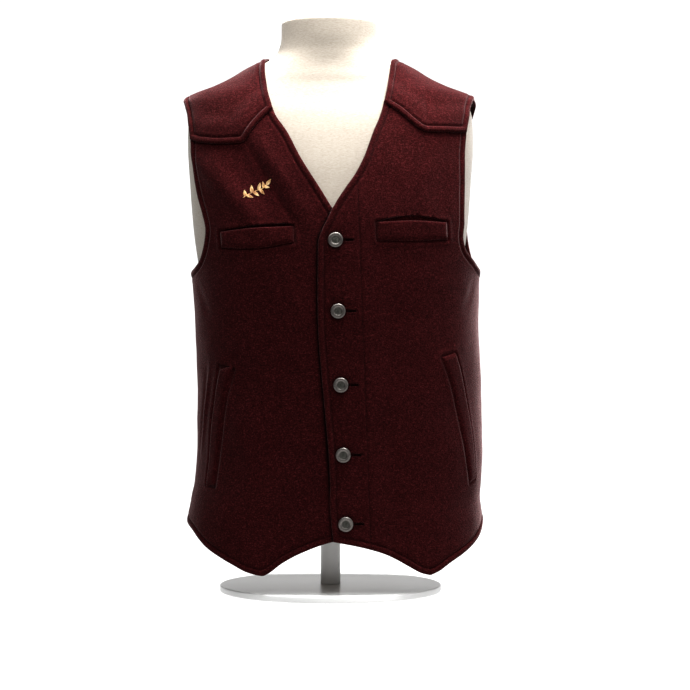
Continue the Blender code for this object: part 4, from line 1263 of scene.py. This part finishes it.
def linen():
    """The form's cover: a fine plain weave, cream, and paler on the neck: below it the cover is darkened as
    painted shade, where the top light falls strongest.
    """
    n = Nodes("linen_cover")
    axes = n.axes()
    around = n.math("MULTIPLY", n.math("ARCTAN2", axes["X"], axes["Y"]), 0.062)
    uneven = n.noise(90.0, 2.0, 0.5)
    thread_pitch = 0.0009
    pitch = 2 * math.pi / thread_pitch
    warp = n.math("SINE", n.math("MULTIPLY_ADD", around, pitch, n.math("MULTIPLY", uneven, 5.0)))
    weft = n.math("SINE", n.math("MULTIPLY_ADD", axes["Z"], pitch, n.math("MULTIPLY", uneven, 4.0)))
    weave = n.math("MULTIPLY", warp, weft)
    slub = n.noise(260.0, 2.0, 0.6, n.place((1.0, 1.0, 5.0)))
    tone = n.math("ADD", n.math("MULTIPLY", weave, 0.10), n.math("MULTIPLY", slub, 0.8))
    colour = n.ramp(tone, [(0.15, (0.325, 0.284, 0.237)), (0.45, (0.43, 0.386, 0.331)),
                           (0.75, (0.48, 0.442, 0.388))])
    # Painted shade: darker below the neck, where the top light falls strongest
    lower = n.ramp(axes["Z"], [(0.652, 0.80), (0.678, 1.0)])
    colour = n.mix(1.0, colour, lower, "MULTIPLY")
    height = n.math("ADD", n.math("MULTIPLY", weave, 0.5), slub)
    return n.finish({"Base Color": colour, "Roughness": 0.9, "Specular IOR Level": 0.25, "Sheen Weight": 0.2,
                     "Sheen Roughness": 0.5, "Normal": n.bump(height, 0.00012, 0.8)})


def pewter():
    """Cast pewter, bright on its rim, with a dull patina where it is sunk and painted shade low on its side,
    next to the cloth.
    """
    n = Nodes("pewter")
    grain = n.noise(900.0, 3.0, 0.6)
    tarnish_and_shade = n.attribute("tarnish_and_shade")
    patches = n.noise(420.0, 2.0, 0.6)
    bright = n.ramp(grain, [(0.3, (0.125, 0.114, 0.105)), (0.7, (0.22, 0.20, 0.188))])
    depth = n.math("MULTIPLY", tarnish_and_shade, n.math("MULTIPLY_ADD", patches, 0.6, 0.62))
    colour = n.mix(depth, bright, (0.060, 0.062, 0.052))
    return n.finish({"Base Color": colour, "Roughness": n.math("MULTIPLY_ADD", depth, 0.2, 0.36),
                     "Metallic": 0.85, "Normal": n.bump(grain, 0.00012, 0.7)})


def enamel():
    """White enamel on steel."""
    n = Nodes("white_enamel")
    orange_peel = n.noise(320.0, 2.0, 0.5)
    tone = n.noise(9.0, 2.0, 0.5)
    colour = n.ramp(tone, [(0.3, (0.80, 0.80, 0.79)), (0.7, (0.86, 0.86, 0.85))])
    return n.finish({"Base Color": colour, "Roughness": 0.32, "Coat Weight": 0.3, "Coat Roughness": 0.15,
                     "Normal": n.bump(orange_peel, 0.00005, 0.4)})


def sprig(panel, finish):
    """A small embroidered leafy sprig, in satin stitch."""
    centre = np.array([-96.5, 499.0])
    stem = np.array([(-15.0, -9.0), (-8.0, -3.5), (0.0, 0.5), (8.0, 3.0), (14.5, 8.5)])
    reach = length_along(stem)
    line = centre + smooth(np.linspace(0.0, reach[-1], 13), reach, stem)
    ends = [stitches(panel, line[:-1] + [0.0, offset], line[1:] + [0.35, offset], SPRIG_LIFT)
            for offset in (-0.28, 0.28)]
    # Columns: place along the stem, angle from its run, length, half width
    leaves = [(0.10, 62, 8, 1.9), (0.16, -58, 8.5, 2), (0.36, 66, 9.5, 2.2), (0.42, -60, 9, 2.1),
              (0.62, 60, 9.5, 2.2), (0.68, -64, 8.5, 2), (0.84, 55, 7.5, 1.8), (0.88, -52, 7, 1.7),
              (1.0, 4, 8.5, 2.1)]
    for place, angle, long, half in leaves:
        spots = np.array([place, min(place + 0.04, 1.0), place - 0.04]) * reach[-1]
        at, ahead, behind = smooth(spots, reach, stem)
        way = (ahead - behind) / np.linalg.norm(ahead - behind)
        cos, sin = math.cos(math.radians(angle)), math.sin(math.radians(angle))
        way = np.array([way[0] * cos - way[1] * sin, way[0] * sin + way[1] * cos])
        aside = np.array([-way[1], way[0]])
        along = np.linspace(0.06, 0.98, 15)[:, None]
        spread = half * np.sin(math.pi * along ** 0.8) ** 0.8 + 0.15
        first = centre + at + way * long * along
        for sign in (-1, 1):
            second = centre + at + way * (long * along - 0.9) + aside * sign * spread
            ends.append(stitches(panel, first, second, SPRIG_LIFT))
    threads("sprig_embroidery", ends, finish, radius=0.30)


def stage_material():
    """Pale paper, lit from behind in its middle and dimmer towards its ends."""
    n = Nodes("stage_paper")
    axes = n.axes()
    aside = n.math("SUBTRACT", n.math("ABSOLUTE", axes["X"]), n.math("MULTIPLY_ADD", axes["Y"], 0.19, 0.52))
    above = n.math("SUBTRACT", axes["Z"], 1.38)
    before = n.math("SUBTRACT", -0.8, axes["Y"])
    fade = n.math("MAXIMUM", n.math("MAXIMUM", aside, above), n.math("MAXIMUM", before, 0.0))
    glow = n.math("MAXIMUM", n.math("MULTIPLY_ADD", fade, -1.6, 1.0), 0.2)
    tone = n.ramp(n.noise(3.0), [(0.3, 0.10), (0.7, 0.102)])
    return n.finish({"Base Color": tone, "Roughness": 0.9, "Emission Color": (1.0, 1.0, 1.0),
                     "Emission Strength": glow})


def add_stage():
    """A pale floor that sweeps up into a pale backdrop."""
    half_width, depth, radius, height, front = 2.4, 3.6, 1.0, 3.2, -1.9
    line = [(front, 0.0), (depth - radius, 0.0)]
    line += [(depth - radius + radius * math.sin(a), radius * (1 - math.cos(a)))
             for a in np.linspace(0.0, QUARTER_TURN, 16)[1:]]
    line.append((depth, height))
    points = [(x, y, z) for y, z in line for x in (-half_width, half_width)]
    faces = [(2 * i, 2 * i + 1, 2 * i + 3, 2 * i + 2) for i in range(len(line) - 1)]
    mesh = bpy.data.meshes.new("stage_sweep")
    mesh.from_pydata(points, [], faces)
    mesh.shade_smooth()
    mesh.materials.append(stage_material())
    sweep = bpy.data.objects.new("stage_sweep", mesh)
    bpy.context.scene.collection.objects.link(sweep)


SURROUND_STRENGTH = 0.17


def add_lights():
    """Soft boxes above, in front to the right, and small ones for the left shoulder and the neck."""
    # Columns: name, place, what it points at, width and height, power
    boxes = [
        ("top_box", (0.38, 0.0, 2.1), (0.0, 0.0, 0.6), (1.2, 0.8), 180.0),
        ("front_box", (1.2, -1.5, 2.0), (0.0, -0.1, 0.4), (0.8, 0.6), 15.0),
        ("right_box", (2.0, -1.1, 1.0), (0.0, 0.0, 0.4), (0.8, 1.2), 7.0),
        ("left_box", (-0.75, -0.05, 1.5), (0.0, 0.0, 0.68), (0.5, 0.5), 9.0),
        ("neck_box", (-0.2, -0.6, 1.1), (0.0, 0.0, 0.69), (0.3, 0.3), 3.6),
    ]
    for name, place, target, size, energy in boxes:
        data = bpy.data.lights.new(name, "AREA")
        data.shape = "RECTANGLE"
        data.size, data.size_y = size
        data.energy = energy
        light = bpy.data.objects.new(name, data)
        light.location = place
        light.rotation_euler = (Vector(target) - Vector(place)).to_track_quat("-Z", "Y").to_euler()
        bpy.context.scene.collection.objects.link(light)
    world = bpy.data.worlds.new("surround")
    world.use_nodes = True
    surround = world.node_tree.nodes["Background"].inputs
    surround["Color"].default_value = (1.0, 1.0, 1.0, 1.0)
    surround["Strength"].default_value = SURROUND_STRENGTH
    bpy.context.scene.world = world


def add_camera():
    """Level, 2.6 m in front, as far as the photograph's."""
    data = bpy.data.cameras.new("camera")
    data.sensor_width = 36.0
    photo_width, mm_per_pixel = 690, 1.27
    across, distance, height = 18.4, 2600.0, 311.0
    data.lens = data.sensor_width * distance / mm_per_pixel / photo_width
    camera = bpy.data.objects.new("camera", data)
    camera.location = (across * MM, -distance * MM, height * MM)
    camera.rotation_euler = (QUARTER_TURN, 0.0, 0.0)
    bpy.context.scene.collection.objects.link(camera)
    bpy.context.scene.camera = camera


def buttonhole_threads(panel, finish):
    """Close stitches along both sides of each buttonhole's slit."""
    ends = []
    for height in BUTTON_HEIGHTS:
        line = float(button_line(height))
        tapes = np.arange(line + EYELET_RADIUS + 0.3, line + SLIT_LENGTH + 0.6, 0.55)
        for sign in (-1, 1):
            near = np.column_stack([tapes, np.full(len(tapes), height + sign * (SLIT_WIDTH / 2 + 0.1))])
            ends.append(stitches(panel, near, near + [0.0, sign * 1.7], 0.12))
    threads("buttonhole_stitches", ends, finish, radius=0.24, sides=5)


def declare(piece, panel, flat, node):
    """Hides the solid that a piece of cloth replaces; the area of its cut is worked out but not kept."""
    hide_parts(node)
    min(panel.flat_area() * 1.06, flat[0] * flat[1])


def make_vest():
    """The cloth, the threads and the sprig."""
    cloth, sewing = wool(), thread()
    fronts = {side: front_panel(side) for side in WORD}
    yokes = {side: yoke_panel(side) for side in WORD}
    back = back_panel()
    for side in WORD:
        front, yoke = fronts[side], yokes[side]
        piece = front.make(cloth, lambda flat: nearness(flat, side), FINER_REACHES,
                           lambda flat: darkness(flat, side))
        declare(piece, front, (0.27, 0.62), "front_" + WORD[side])
        declare(yoke.make(cloth), yoke, (0.19, 0.15), "yoke_" + WORD[side])
        welt_piece(CHEST[side], cloth)
        welt_piece(LOW[side], cloth)
    declare(back.make(cloth), back, (0.56, 0.63), "back")
    panels = [*fronts.values(), *yokes.values(), back]
    ends = [even_stitches(panel, line) for panel in panels for line in panel.stitch_lines()]
    heights = np.linspace(FACING_TOP, FACING_LOW, 60)
    facing = np.column_stack([button_line(heights) + FACING_INSET, heights])
    ends.append(even_stitches(fronts[LEFT], facing))
    threads("topstitching", ends, sewing)
    buttonhole_threads(fronts[LEFT], sewing)
    sprig(fronts[RIGHT], gold_thread())


make_vest()
metal = pewter()
for number, height in enumerate(BUTTON_HEIGHTS, 1):
    button(number, height, metal)
form_torso(linen())
stand(enamel())
add_stage()
add_lights()
add_camera()
bpy.context.scene.view_settings.view_transform = "Standard"
bpy.context.scene.view_settings.gamma = 0.8
